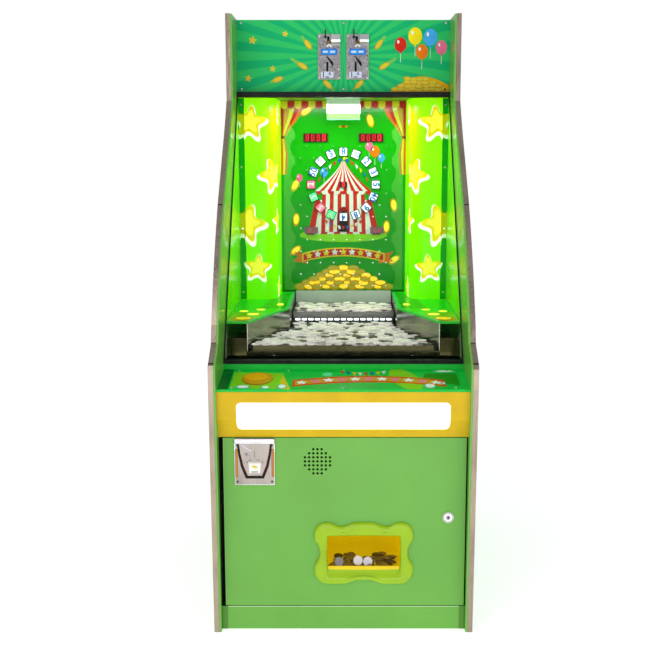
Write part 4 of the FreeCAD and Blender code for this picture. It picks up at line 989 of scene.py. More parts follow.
def coin_pile(art, centre, half, foot, rows, layer, glow="lit"):
    """A heap of overlapping round coins."""
    rng = random.Random(5)
    for row in range(rows):
        reach = half * (1 - row / rows * 0.85)
        z = foot + row * 0.0115
        count = max(3, int(reach / 0.0125))
        for i in range(count):
            x = centre + (i - (count - 1) / 2) * 2 * reach / count + rng.uniform(-0.002, 0.002)
            rx, rz = rng.uniform(0.016, 0.020), rng.uniform(0.009, 0.012)
            lift = layer + 2 * ((row + i) % 3)
            art.add(ellipse(x, z, rx, rz, count=24), f"{glow}_gold", lift)
            art.add(ellipse(x, z + 0.0013, rx * 0.86, rz * 0.76, count=24),
                    "glow_amber" if i % 2 else "lit_straw",
                    lift + 1)


def curtain(art, sign, outer, head, tie, foot):
    """A side curtain of alternating folds, gathered at a tie, with its tail below."""
    folds = 5
    colours = ("red", "orange", "yellow")
    top_reach, tie_reach, tail_reach = 0.078, 0.011, 0.022
    for i in range(folds):
        a, b = i / folds, (i + 1) / folds
        edges = []
        for share in (a, b):
            x_top = outer - sign * top_reach * share
            x_tie = outer - sign * (0.002 + tie_reach * share)
            bulge = sign * 0.012 * share
            edges.append([(x_top, head),
                          (x_top * 0.62 + x_tie * 0.38 - bulge * 0.6, head - (head - tie) * 0.4),
                          (x_top * 0.22 + x_tie * 0.78 - bulge * 0.3, head - (head - tie) * 0.75),
                          (x_tie, tie)])
        art.add(edges[0] + list(reversed(edges[1])), f"lit_{colours[i % 3]}", 1)
    for i in range(3):
        a, b = i / 3, (i + 1) / 3
        edges = []
        for share in (a, b):
            x_tie = outer - sign * (0.002 + tie_reach * share)
            x_tail = outer - sign * tail_reach * share
            edges.append([(x_tie, tie), (x_tail, tie - (tie - foot) * 0.45),
                          (outer - sign * tail_reach * share * 0.8, foot)])
        art.add(edges[0] + list(reversed(edges[1])), f"lit_{colours[(i + 1) % 3]}", 1)
    art.add(rounded(min(outer, outer - sign * 0.014), tie - 0.004, max(outer, outer - sign * 0.014),
                    tie + 0.004, 0.002),
            "lit_dark_red", 3)


def make_stage_art():
    low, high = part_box("backboard")
    tile_low, tile_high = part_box("number_tiles")
    ring_x = (tile_low.x + tile_high.x) / 2
    ring_z = (tile_low.z + tile_high.z) / 2
    half = high.x - 0.003
    art = Print("stage_art", "cabinet", on_front(low.y), "printed_stage")
    head = high.z - 0.001
    for sign in (-1, 1):
        curtain(art, sign, sign * half, head, 1.239, 1.125)
    scallops = 18
    width = 2 * half / scallops
    for i in range(scallops):
        x = -half + width * (i + 0.5)
        colour = ("lit_yellow", "lit_red")[i % 2]
        shape = [(x + width / 2, head), (x - width / 2, head),
                 *ellipse(x, head - 0.012, width / 2, 0.012, 180, 360, 9)]
        art.add(shape, colour, 4)
    ground = low.z + 0.175
    art.add(ellipse(ring_x, ground, 0.137, 0.022, count=48), "lit_lime", 2)
    striped_wall(art, (ring_x - 0.112, ring_x - 0.088), (ring_x + 0.112, ring_x + 0.088), ground + 0.003,
                 1.046, 11, 3)
    art.add(rectangle(ring_x - 0.116, ground + 0.001, ring_x - 0.09, ground + 0.022), "lit_dark_red", 4)
    art.add(rectangle(ring_x + 0.09, ground + 0.001, ring_x + 0.116, ground + 0.022), "lit_dark_red", 4)
    striped_wall(art, (ring_x - 0.070, ring_x - 0.066), (ring_x + 0.070, ring_x + 0.066), ground + 0.010,
                 1.078, 11, 5)
    door = [(ring_x - 0.020, ground + 0.010), (ring_x + 0.020, ground + 0.010),
            *ellipse(ring_x, ground + 0.055, 0.020, 0.034, 0, 180, 12)]
    art.add(door, "lit_dark_red", 6)
    inner = [(ring_x - 0.012, ground + 0.010), (ring_x + 0.012, ground + 0.010),
             *ellipse(ring_x, ground + 0.050, 0.012, 0.026, 0, 180, 12)]
    art.add(inner, "lit_black", 7)
    tent_roof(art, (ring_x, ring_z + 0.072), ring_z - 0.020, 0.088, 8)
    art.add([(ring_x, ring_z + 0.070), (ring_x, ring_z + 0.086), (ring_x + 0.016, ring_z + 0.081),
             (ring_x + 0.001, ring_z + 0.076)], "lit_yellow", 9)
    bunting(art, (ring_x - 0.079, ring_z + 0.012), (ring_x - 0.003, ring_z + 0.083), 0.010, 6, 0.013, 10)
    bunting(art, (ring_x + 0.079, ring_z + 0.012), (ring_x + 0.003, ring_z + 0.083), -0.010, 6, 0.013, 10)
    bunting(art, (ring_x - 0.060, ground + 0.050), (ring_x + 0.060, ground + 0.050), -0.022, 9, 0.012, 10)
    for x, z, radius, colour in ((-0.060, 1.132, 0.013, "sky"), (0.098, 1.196, 0.016, "orange"),
                                 (0.080, 1.212, 0.013, "pink"), (0.118, 1.176, 0.012, "sky"),
                                 (-0.137, 1.115, 0.011, "pink")):
        draw_balloon(art, x, z, radius, colour, 9, "lit")
    ribbon_z = low.z + 0.108
    for sign in (-1, 1):
        tail = [(sign * 0.112, ribbon_z - 0.022), (sign * 0.158, ribbon_z - 0.016), (sign * 0.143, ribbon_z),
                (sign * 0.158, ribbon_z + 0.015), (sign * 0.112, ribbon_z + 0.006)]
        art.add(tail, "lit_orange", 3)
    upper = bow((-0.130, ribbon_z + 0.010), (0.130, ribbon_z + 0.010), 0.018, 20)
    lower = bow((-0.130, ribbon_z - 0.018), (0.130, ribbon_z - 0.018), 0.018, 20)
    art.add(upper + list(reversed(lower)), "lit_yellow", 4)
    inner_upper = bow((-0.126, ribbon_z + 0.006), (0.126, ribbon_z + 0.006), 0.018, 20)
    inner_lower = bow((-0.126, ribbon_z - 0.014), (0.126, ribbon_z - 0.014), 0.018, 20)
    art.add(inner_upper + list(reversed(inner_lower)), "lit_red", 5)
    for i in range(9):
        x = (i - 4) * 0.027
        lift = 0.018 * (1 - (x / 0.130) ** 2)
        art.add(puffy_star(x, ribbon_z - 0.004 + lift, 0.0105, count=50),
                ("lit_yellow", "lit_white")[i % 2], 6)
    coin_pile(art, ring_x, 0.150, low.z + 0.012, 6, 1)
    for x, z, slant in ((-0.115, 1.318, 0.6), (0.083, 1.290, -1.3), (-0.150, 1.092, 1.1),
                        (-0.148, 0.985, 1.5),
                        (-0.150, 0.888, 0.7), (0.158, 1.030, -1.4), (0.135, 0.962, 1.5), (0.160, 0.858, 0.6)):
        leaf = ellipse(0, 0, 0.021, 0.0105, count=28)
        turned = [(x + px * math.cos(slant) - pz * math.sin(slant),
                   z + px * math.sin(slant) + pz * math.cos(slant))
                  for px, pz in leaf]
        art.add(turned, "lit_gold", 2)
        art.add([(x + (px - x) * 0.75, z + (pz - z) * 0.75 + 0.001) for px, pz in turned], "glow_amber", 3)
    for z in (1.272, 1.2045):
        for sign in (-1, 1):
            art.add(rounded(sign * 0.004 - 0.009, z - 0.003, sign * 0.004 + 0.009, z + 0.003, 0.0015, 4),
                    "lit_gold", 3)
    art.done()


# ------------------------------------------------------------------ digits
def digit_outlines():
    """Seven bars of a figure, as names of strokes."""
    return {
        "0": "abcdef", "1": "bc", "2": "abged", "3": "abgcd", "4": "fgbc", "5": "afgcd", "6": "afgedc",
        "7": "abc", "8": "abcdefg", "9": "abcdfg",
    }


def stroke_bars(width, height, thick):
    """The rectangles of the seven strokes of a figure round its middle."""
    w, h, t = width / 2, height / 2, thick
    return {
        "a": (-w, h - t, w, h), "g": (-w, -t / 2, w, t / 2), "d": (-w, -h, w, -h + t),
        "f": (-w, 0.0, -w + t, h), "b": (w - t, 0.0, w, h), "e": (-w, -h, -w + t, 0.0),
            "c": (w - t, -h, w, 0.0),
    }


def draw_figure(art, text, centre, size, turn, finish, layer):
    """Figures made of straight strokes, turned round the centre of their tile."""
    width, height, thick = size
    gap = width * 1.45
    bars = stroke_bars(width, height, thick)
    for k, letter in enumerate(text):
        shift = (k - (len(text) - 1) / 2) * gap
        for stroke in digit_outlines()[letter]:
            x0, z0, x1, z1 = bars[stroke]
            corners = rectangle(x0 + shift, z0, x1 + shift, z1)
            turned = [(centre[0] + px * math.cos(turn) + pz * math.sin(turn),
                       centre[1] - px * math.sin(turn) + pz * math.cos(turn)) for px, pz in corners]
            art.add(turned, finish, layer + "abcdefg".index(stroke) % 2)


def font_digit_meshes():
    """Flat meshes of the ten figures from Blender's own font, centred, one unit high."""
    made = {}
    for digit in "0123456789":
        curve = bpy.data.curves.new(f"figure_{digit}", "FONT")
        curve.body = digit
        curve.align_x = "CENTER"
        curve.align_y = "CENTER"
        curve.offset = 0.035
        holder = bpy.data.objects.new(f"figure_{digit}", curve)
        bpy.context.scene.collection.objects.link(holder)
        bpy.context.view_layer.update()
        made[digit] = bpy.data.meshes.new_from_object(holder)
        bpy.data.objects.remove(holder)
    return made


def write_digits(name, entries, body, slot, y, thick):
    """Solid figures in one object. An entry is (text, centre, height, turn, finish)."""
    flat = font_digit_meshes()
    work = bmesh.new()
    finishes = []
    for text, centre, height, turn, finish in entries:
        if finish not in finishes:
            finishes.append(finish)
        slot_index = finishes.index(finish)
        spread = height * 0.78
        squeeze = 0.72 if len(text) == 3 else 0.92
        for k, digit in enumerate(text):
            source = bmesh.new()
            source.from_mesh(flat[digit])
            shift = (k - (len(text) - 1) / 2) * spread * squeeze
            for vert in source.verts:
                px = vert.co.x * height * 1.35 * squeeze + shift
                pz = vert.co.y * height * 1.35
                vert.co = Vector((centre[0] + px * math.cos(turn) + pz * math.sin(turn), y - thick,
                                  centre[1] - px * math.sin(turn) + pz * math.cos(turn)))
            extruded = bmesh.ops.extrude_face_region(source, geom=list(source.faces))
            for item in extruded["geom"]:
                if isinstance(item, bmesh.types.BMVert):
                    item.co.y = y
            for face in source.faces:
                face.material_index = slot_index
            part = bpy.data.meshes.new("figure_part")
            source.to_mesh(part)
            source.free()
            work.from_mesh(part)
            bpy.data.meshes.remove(part)
    bmesh.ops.recalc_face_normals(work, faces=work.faces)
    data = bpy.data.meshes.new(name)
    work.to_mesh(data)
    work.free()
    for finish in finishes:
        data.materials.append(MATERIALS[finish])
    return new_object(name, data, body, slot)


RING_NUMBERS = ("8", "100", "2", "3", "5", "40", "9", "8", "4", "9", "5", "5", "2", "50", "6", "3")
RING_COLOURS = {9: "green", 10: "pink", 11: "green", 12: "pink"}


def make_ring():
    low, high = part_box("number_tiles")
    centre = ((low.x + high.x) / 2, (low.z + high.z) / 2)
    radius = 0.101
    half = 0.014
    art = Print("ring_tile_art", "cabinet", on_front(low.y), "tile_white")
    entries = []
    for i, text in enumerate(RING_NUMBERS):
        turn = 2 * math.pi * i / len(RING_NUMBERS)
        x, z = centre[0] + radius * math.sin(turn), centre[1] + radius * math.cos(turn)

        def turned(points):
            return [(x + px * math.cos(turn) + pz * math.sin(turn),
                     z - px * math.sin(turn) + pz * math.cos(turn))
                    for px, pz in points]

        colour = RING_COLOURS.get(i)
        art.add(turned(rectangle(-half, -half, half, half)), "ink_black", 1)
        inner = half - 0.0026
        face = {"green": "glow_green", "pink": "glow_pink"}.get(colour, "tile")
        art.add(turned(rounded(-inner, -inner, inner, inner, 0.0012, 3)), face, 2)
        entries.append((text, (x, z), 0.0195 if len(text) < 3 else 0.0150, turn,
                        "lit_white" if colour else "ink_blue"))
    art.done()
    write_digits("ring_figures", entries, "cabinet", "tile_white", low.y - 2 * Print.LAYER, 0.0003)


def make_displays():
    """Lit figures in the display windows."""
    low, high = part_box("score_displays")
    art = Print("display_segments", "cabinet", on_front(low.y), "display_red")
    for x in (-0.086, 0.086):
        for k in range(4):
            spot = (x - 0.0255 + 0.017 * k, 1.238)
            finish = "segment" if k == 3 else "segment_dim"
            draw_figure(art, "0" if k == 3 else "8", spot, (0.0092, 0.0185, 0.0019), 0.0, finish, 1)
    for x in (-0.101, 0.105):
        for k in range(2):
            draw_figure(art, "0", (x - 0.006 + 0.013 * k, 0.952), (0.0065, 0.0125, 0.0014), 0.0,
                        "segment_dim", 1)
    draw_figure(art, "0", (0.0, 1.094), (0.0075, 0.0135, 0.0016), 0.0, "segment", 1)
    art.done()


# ------------------------------------------------------------------ shelf, decks and light box
def surface_probe(node):
    """A function that gives the height of a node's top at a place."""
    from mathutils.bvhtree import BVHTree
    mesh = NODES[node].data
    tree = BVHTree.FromPolygons([v.co for v in mesh.vertices], [tuple(p.vertices) for p in mesh.polygons])

    def height(x, y):
        hit = tree.ray_cast(Vector((x, y, CAD_BOX[1].z + 1.0)), Vector((0, 0, -1)))
        return hit[0].z

    return height


def make_shelf():
    low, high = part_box("shelf_panel")
    height = surface_probe("shelf_panel")
    near, far = low.y + 0.012, low.y + 0.150
    z_near, z_far = height(0.01, near), height(0.01, far)
    slope = (z_far - z_near) / (far - near)

    def place(u, v, lift):
        return Vector((u, low.y + v, z_near + slope * (low.y + v - near) + lift))

    half = high.x - 0.002
    depth = 0.160
    art = Print("shelf_art", "cabinet", place, "printed_shelf")
    art.add(rectangle(-half, 0.001, -half + 0.026, depth), "ink_dark_green", 1)
    art.add([(-half + 0.030, 0.010), (-0.150, 0.004), (-0.150, 0.128), (-half + 0.030, 0.135)], "lit_lime", 1)
    art.add([(-0.150, 0.001), (-0.128, 0.001), (-0.142, 0.070), (-0.150, 0.110), (-0.156, 0.060)],
            "lit_yellow", 2)
    art.add(bow((0.155, 0.002), (0.120, depth), 0.020, 12) + bow((0.150, depth), (0.190, 0.002), 0.020,
                                                                 12), "lit_lime", 1)
    art.add([(0.195, 0.070), (0.285, 0.030), (0.285, 0.130), (0.205, 0.125)], "lit_leaf", 1)
    art.add(ellipse(-0.213, 0.082, 0.039, 0.050, count=40), "ink_brown", 3)
    art.add(ellipse(-0.213, 0.086, 0.038, 0.046, count=40), "lit_gold", 4)
    art.add(ellipse(-0.218, 0.098, 0.030, 0.028, count=40), "ink_gold", 5)
    for x, y, rx, ry in ((-0.245, 0.018, 0.020, 0.014), (-0.190, 0.014, 0.012, 0.012),
                         (-0.150, 0.020, 0.013, 0.020),
                         (0.210, 0.026, 0.016, 0.020), (0.240, 0.045, 0.012, 0.014),
                         (0.255, 0.142, 0.030, 0.009)):
        art.add(ellipse(x, y, rx, ry, count=26), "lit_mint", 3)
        art.add(ellipse(x + 0.001, y + 0.002, rx * 0.7, ry * 0.7, count=26), "ink_white", 4)
    band_low = bow((-0.125, 0.022), (0.250, 0.022), 0.034, 26)
    band_high = bow((-0.125, 0.070), (0.250, 0.070), 0.034, 26)
    art.add(band_low + list(reversed(band_high)), "ink_red", 3)
    inner_low = bow((-0.119, 0.030), (0.244, 0.030), 0.034, 26)
    inner_high = bow((-0.119, 0.062), (0.244, 0.062), 0.034, 26)
    art.add(inner_low + list(reversed(inner_high)), "lit_gold", 4)
    for i in range(11):
        share = (i + 0.5) / 11
        x = -0.119 + 0.363 * share
        y = 0.046 + 4 * 0.034 * share * (1 - share)
        art.add(puffy_star(x, y, 0.0135, count=50), ("ink_white", "ink_pink")[i % 2], 5)
    bunting(art, (-0.010, 0.150), (0.110, 0.150), -0.020, 8, 0.024, 3, "lit")
    art.add(ellipse(-0.040, 0.118, 0.013, 0.014, count=26), "ink_mint", 3)
    art.done()

    def screws(work):
        for x, v in ((-0.265, depth - 0.012), (-0.140, depth - 0.010), (0.0, depth - 0.012),
                     (0.262, depth - 0.012),
                     (-0.272, 0.014), (0.272, 0.014), (0.0, 0.010)):
            foot = place(x, v, 0.0)
            add_rod(work, foot, place(x, v, 0.0022), 0.0036, 18)

    bevel_mesh("shelf_screws", screws, "cabinet", "chrome", "screw_steel", 0.0008)


def make_deck_art():
    low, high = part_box("deck_right")
    inner = low.x
    height = surface_probe("deck_right")
    top = height((inner + high.x) / 2 + 0.02, low.y + 0.12)
    back = FRONT + 0.835
    waist = FRONT + 0.497
    for side, sign in (("left", -1), ("right", 1)):
        art = Print(f"deck_art_{side}", "cabinet", on_top(top), "printed_stage")

        def put(points, finish, layer):
            art.add([(sign * x, y) for x, y in points], finish, layer)

        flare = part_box("bed_side_rails")[1].x
        put([(inner + 0.001, back), (inner + 0.001, waist), (inner + 0.006, waist), (inner + 0.006, back)],
            "lit_mint", 2)
        put([(inner + 0.001, waist), (flare - 0.002, low.y + 0.002), (flare + 0.005, low.y + 0.002),
             (inner + 0.006, waist)], "lit_mint", 2)
        put([(flare - 0.002, low.y + 0.001), (high.x - 0.002, low.y + 0.001), (high.x - 0.002, low.y + 0.007),
             (flare - 0.002, low.y + 0.007)], "lit_mint", 2)
        put([(inner + 0.010, back - 0.02), (inner + 0.012, waist - 0.01), (high.x - 0.07, waist - 0.02),
             (high.x - 0.09, back - 0.10)], "ink_leaf", 1)
        put([(flare + 0.012, low.y + 0.020), (high.x - 0.004, low.y + 0.012), (high.x - 0.004, low.y + 0.16),
             (flare - 0.02, low.y + 0.18), (flare - 0.03, low.y + 0.09)], "lit_lime", 1)
        put(ellipse(high.x - 0.035, low.y + 0.052, 0.030, 0.036, count=36), "lit_gold", 2)
        put(ellipse(high.x - 0.040, low.y + 0.060, 0.020, 0.022, count=36), "glow_amber", 3)
        for x, y, rx, ry in ((high.x - 0.06, low.y + 0.130, 0.016, 0.016),
                             (high.x - 0.03, low.y + 0.185, 0.012, 0.015),
                             (high.x - 0.075, low.y + 0.215, 0.012, 0.012),
                             (inner + 0.030, waist + 0.060, 0.010, 0.018)):
            put(ellipse(x, y, rx, ry, count=24), "glow_yellow", 3)
        art.done()


# ------------------------------------------------------------------ service door
def make_ticket_plate_details():
    """The faceplate's light band, black outline, amber strips, mouth, paper and screws."""
    plate_low, plate_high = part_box("ticket_plate")
    x = (plate_low.x + plate_high.x) / 2
    z = (plate_low.z + plate_high.z) / 2
    half_w, half_h = 0.0495, 0.0595
    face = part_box("front_door")[0].y - 0.003
    art = Print("ticket_art", "service_door", on_front(face), "ticket_steel")

    def at(points, finish, layer=1):
        art.add([(x + px, z + pz) for px, pz in points], finish, layer)

    arm = [(0.0385, 0.0485), (0.0435, 0.0485), (0.0405, 0.0180), (0.0345, -0.0120), (0.0225, -0.0430),
           (0.0185, -0.0360),
           (0.0290, -0.0100), (0.0345, 0.0180)]
    edge = [(0.0340, 0.0180), (0.0345, 0.0180), (0.0290, -0.0100), (0.0180, -0.0370), (0.0172, -0.0360),
            (0.0280, -0.0095)]
    for sign in (-1, 1):
        at([(sign * px, pz) for px, pz in arm], "ink_black", 1)
        at([(sign * px, pz) for px, pz in edge], "ink_dark_red", 2)
        at([(sign * px, pz) for px, pz in rounded(0.0415, -0.0400, 0.0480, 0.0330, 0.002, 5)], "ink_brown", 1)
        at([(sign * px, pz) for px, pz in rounded(0.0425, -0.0390, 0.0470, 0.0320, 0.0018, 5)], "amber", 2)
    at([(-0.0225, -0.0430), (0.0225, -0.0430), (0.0185, -0.0360), (-0.0185, -0.0360)], "ink_black", 1)
    at([(-0.0365, 0.0440), (-0.0340, 0.0450), (-0.0080, 0.0280), (-0.0095, 0.0260)], "ink_pale", 1)
    at([(-0.0260, 0.0200), (-0.0180, 0.0240), (-0.0150, 0.0180), (-0.0220, 0.0140)], "ink_ash", 1)
    for px, pz in ((-0.0130, 0.0035), (-0.0080, 0.0048), (0.0040, 0.0048), (0.0090, 0.0040)):
        at(ellipse(px, pz, 0.0011, count=12), "ink_black", 2)
    at(rectangle(-0.0012, 0.0100, 0.0012, 0.0270), "ink_ash", 1)
    for px in (-0.0190, 0.0185):
        at([(px - 0.0018, -0.0025), (px + 0.0018, -0.0025), (px, 0.0008)], "ink_black", 2)
    art.done()

    def band(work):
        add_prism(work, rounded(x - half_w + 0.0005, z + half_h - 0.0125, x + half_w - 0.0005,
                                z + half_h - 0.0005,
                                0.0012, 4), plate_low.y - 0.0002, face - SKIN)

    bevel_mesh("ticket_band", band, "service_door", "band", "ticket_steel", 0.0009, 3)

    def mouth(work):
        rear = [(-0.0170, -0.0005), (0.0170, -0.0005), (0.0150, -0.0300), (-0.0150, -0.0300)]
        nose = [(-0.0145, -0.0035), (0.0145, -0.0035), (0.0125, -0.0270), (-0.0125, -0.0270)]
        back = [work.verts.new((x + px, face - SKIN, z + pz)) for px, pz in rear]
        front = [work.verts.new((x + px, face - 0.0042, z + pz)) for px, pz in nose]
        work.faces.new(front)
        work.faces.new(list(reversed(back)))
        for i in range(4):
            j = (i + 1) % 4
            work.faces.new((front[i], back[i], back[j], front[j]))

    bevel_mesh("ticket_mouth", mouth, "service_door", "mouth", "ticket_steel", 0.0010, 3)
    art = Print("ticket_mouth_art", "service_door", on_front(face - 0.0042), "ticket_steel")
    art.add([(x + px, z + pz) for px,
             pz in ((-0.0090, -0.0100), (-0.0020, -0.0080), (0.0085, -0.0120), (0.0020, -0.0160))],
            "ink_straw", 1)
    art.add([(x + px, z + pz) for px, pz in rounded(-0.0085, -0.0262, 0.0085, -0.0235, 0.001, 4)],
            "ink_ash", 1)
    art.done()

    def screws(work):
        for sx in (-1, 1):
            for pz in (0.0420, -0.0510):
                add_rod(work, (x + sx * 0.0425, face - 0.0016, z + pz), (x + sx * 0.0425, face, z + pz),
                        0.0027, 16)

    bevel_mesh("ticket_plate_screws", screws, "service_door", "plastic", "screw_steel", 0.0006)

    def rim(work):
        for x0, x1, z0, z1 in ((-half_w, half_w, -half_h, -half_h + 0.0012),
                               (-half_w, -half_w + 0.0012, -half_h + 0.0012, half_h - 0.0125),
                               (half_w - 0.0012, half_w, -half_h + 0.0012, half_h - 0.0125)):
            add_prism(work, rectangle(x + x0, z + z0, x + x1, z + z1), face - 0.0006, face + SKIN)

    bevel_mesh("ticket_plate_rim", rim, "service_door", "chrome", "ticket_steel", 0.0003)


BEZEL_RIGHT = ((0, 0), (24, 1), (38, 6), (53, 10.5), (66, 9), (78, 3), (92, 0), (109, 4), (119, 14),
               (124, 30),
               (123, 45), (114, 61), (110.5, 79), (114, 95), (123, 112), (124, 127), (121, 141), (113, 152),
               (102, 160), (86, 162), (48, 161.5), (36, 158), (20, 152.5), (0, 150.5))


def smooth_loop(points, count):
    """Evenly spread places on a closed curve that passes through the points."""
    total = len(points)
    fine = []
    for i in range(total):
        p0, p1, p2, p3 = (Vector(points[(i + k - 1) % total]) for k in range(4))
        for step in range(12):
            t = step / 12
            fine.append(0.5 * ((2 * p1) + (p2 - p0) * t + (2 * p0 - 5 * p1 + 4 * p2 - p3) * t * t
                               + (3 * p1 - p0 - 3 * p2 + p3) * t ** 3))
    runs = [0.0]
    for a, b in zip(fine, fine[1:] + fine[:1]):
        runs.append(runs[-1] + (b - a).length)
    spread, k = [], 0
    for i in range(count):
        target = runs[-1] * i / count
        while runs[k + 1] < target:
            k += 1
        share = (target - runs[k]) / max(1e-9, runs[k + 1] - runs[k])
        spread.append(fine[k].lerp(fine[(k + 1) % len(fine)], share))
    return spread


def inset_loop(points, inset):
    """The same loop moved inwards along its normals."""
    count = len(points)
    moved = []
    for i in range(count):
        along = (points[(i + 2) % count] - points[(i - 2) % count]).normalized()
        moved.append(points[i] + Vector((along.y, -along.x)) * inset)
    return moved


def bezel_outlines():
    """Front-view loops of the bezel, from its outer foot to the edge of its opening: (points, depth)."""
    low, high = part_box("tray_bezel")
    cx = (low.x + high.x) / 2
    half = [(cx + px * MM, high.z - pz * MM) for px, pz in BEZEL_RIGHT]
    mirrored = [(2 * cx - px, pz) for px, pz in reversed(half[1:-1])]
    count = 220
    outer = smooth_loop(half + mirrored, count)
    hole_w, sill, head = 0.093, low.z + 0.0245, high.z - 0.034
    hole_z, hole_h = (sill + head) / 2, (head - sill) / 2

    def inner(point, spread, sill_rise):
        offset = point - Vector((cx, hole_z))
        angle = math.atan2(offset.y / hole_h, offset.x / hole_w)
        c, d = math.cos(angle), math.sin(angle)
        reach = 1 / max(abs(c), abs(d)) ** 0.93
        px, pz = c * reach, d * reach
        lift = sill_rise if pz < -0.75 else 0.0
        return Vector((cx + px * (hole_w + spread) * 0.985, hole_z + pz * (hole_h + spread) * 0.985 + lift))

    back, front = high.y, low.y
    depth = back - front
    loops = []
    for inset, share in ((0.0, 0.0), (0.0, 0.30), (0.0010, 0.58), (0.0032, 0.82), (0.0068, 0.96),
                         (0.0110, 1.0)):
        loops.append((inset_loop(outer, inset), back - depth * share))
    for spread, share, rise in ((0.0100, 0.97, 0), (0.0060, 0.88, 0), (0.0028, 0.72, 0),
                                (0.0008, 0.50, 0.001),
                                (0.0002, 0.20, 0.007), (0.0, 0.0, 0.013)):
        loops.append(([inner(p, spread, rise) for p in outer], back - depth * share))
    return loops


def make_bezel():
    work = bmesh.new()
    rings = []
    for points, y in bezel_outlines():
        rings.append([work.verts.new((x, y, z)) for x, z in points])
    count = len(rings[0])
    for near, far in zip(rings, rings[1:] + rings[:1]):
        for i in range(count):
            j = (i + 1) % count
            work.faces.new((near[i], near[j], far[j], far[i]))
    bmesh.ops.recalc_face_normals(work, faces=work.faces)
    for face in work.faces:
        face.smooth = True
    data = bpy.data.meshes.new("bezel_moulding")
    work.to_mesh(data)
    work.free()
    data.materials.append(MATERIALS["bezel"])
    piece = new_object("bezel_moulding", data, "service_door", "bezel_lime")
    edge = piece.modifiers.new("edges", "EDGE_SPLIT")
    edge.split_angle = math.radians(60)
    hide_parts("tray_bezel")

    def screws(screw_mesh):
        low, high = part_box("tray_bezel")
        for x, z in ((low.x + 0.018, high.z - 0.016), (low.x + 0.046, high.z - 0.014),
                     (high.x - 0.018, high.z - 0.016),
                     (low.x + 0.018, low.z + 0.018), (high.x - 0.018, low.z + 0.018)):
            add_rod(screw_mesh, (x, low.y + 0.0001, z), (x, low.y + 0.004, z), 0.0016, 14)

    bevel_mesh("bezel_pins", screws, "service_door", "bezel", "bezel_lime", 0.0005)


def make_tray_tokens():
    """A loose scatter of tokens behind the sill, a few of them on edge; the scatter takes a darker copy of
    the token material as painted shade, and three dark tokens just behind the bright standing ones are their
    painted shadows.
    """
    low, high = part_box("prize_tray")
    middle = (low.x + high.x) / 2
    left, right = middle - 0.080, middle + 0.080
    floor_z = low.z + 0.0038
    front = low.y + 0.018
    rng_state = random.getstate()
    random.seed(21)
    shaded = []
    for _ in range(64):
        x = random.uniform(left, right)
        y = front + 0.085 * random.random() ** 1.4
        layer = random.choice((0, 1, 1, 2, 3))
        shaded.append((Vector((x, y, floor_z + 0.0012 + layer * 0.0033)), tilt_by(5 + 9 * layer)))
    # Three dark tokens just behind the bright standing ones: their painted shadows.
    for x, y, z, lean, turn in ((-0.060, 0.020, 0.0240, 62, 0.5), (-0.012, 0.022, 0.0270, 70, 0.1),
                                (0.012, 0.018, 0.0250, 66, -0.2)):
        spin = Quaternion((0, 0, 1), turn) @ Quaternion((1, 0, 0), math.radians(lean))
        shaded.append((Vector((middle + x, front + y - 0.004, floor_z + z - 0.010)), spin))
    bright = []
    for x, z, lean, turn in ((-0.062, 0.0255, 64, 0.5), (-0.014, 0.0290, 72, 0.15),
                             (0.011, 0.0265, 68, -0.25)):
        spin = Quaternion((0, 0, 1), turn) @ Quaternion((1, 0, 0), math.radians(lean))
        bright.append((Vector((middle + x, front + 0.006, floor_z + z - 0.006)), spin))
    random.setstate(rng_state)
    token_heap("tray_tokens_bright", bright, "service_door", "token_metal", "bright_token", 28)
    token_heap("tray_tokens_shaded", shaded, "service_door", "token_metal", "shaded_token", 24)


def on_wall(sign):
    """Places a drawing on the inner face of a side panel; the drawing's u is the depth."""
    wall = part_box("wing_panel_right")[1].x
    return lambda u, v, lift: Vector((sign * (wall - lift), u, v))


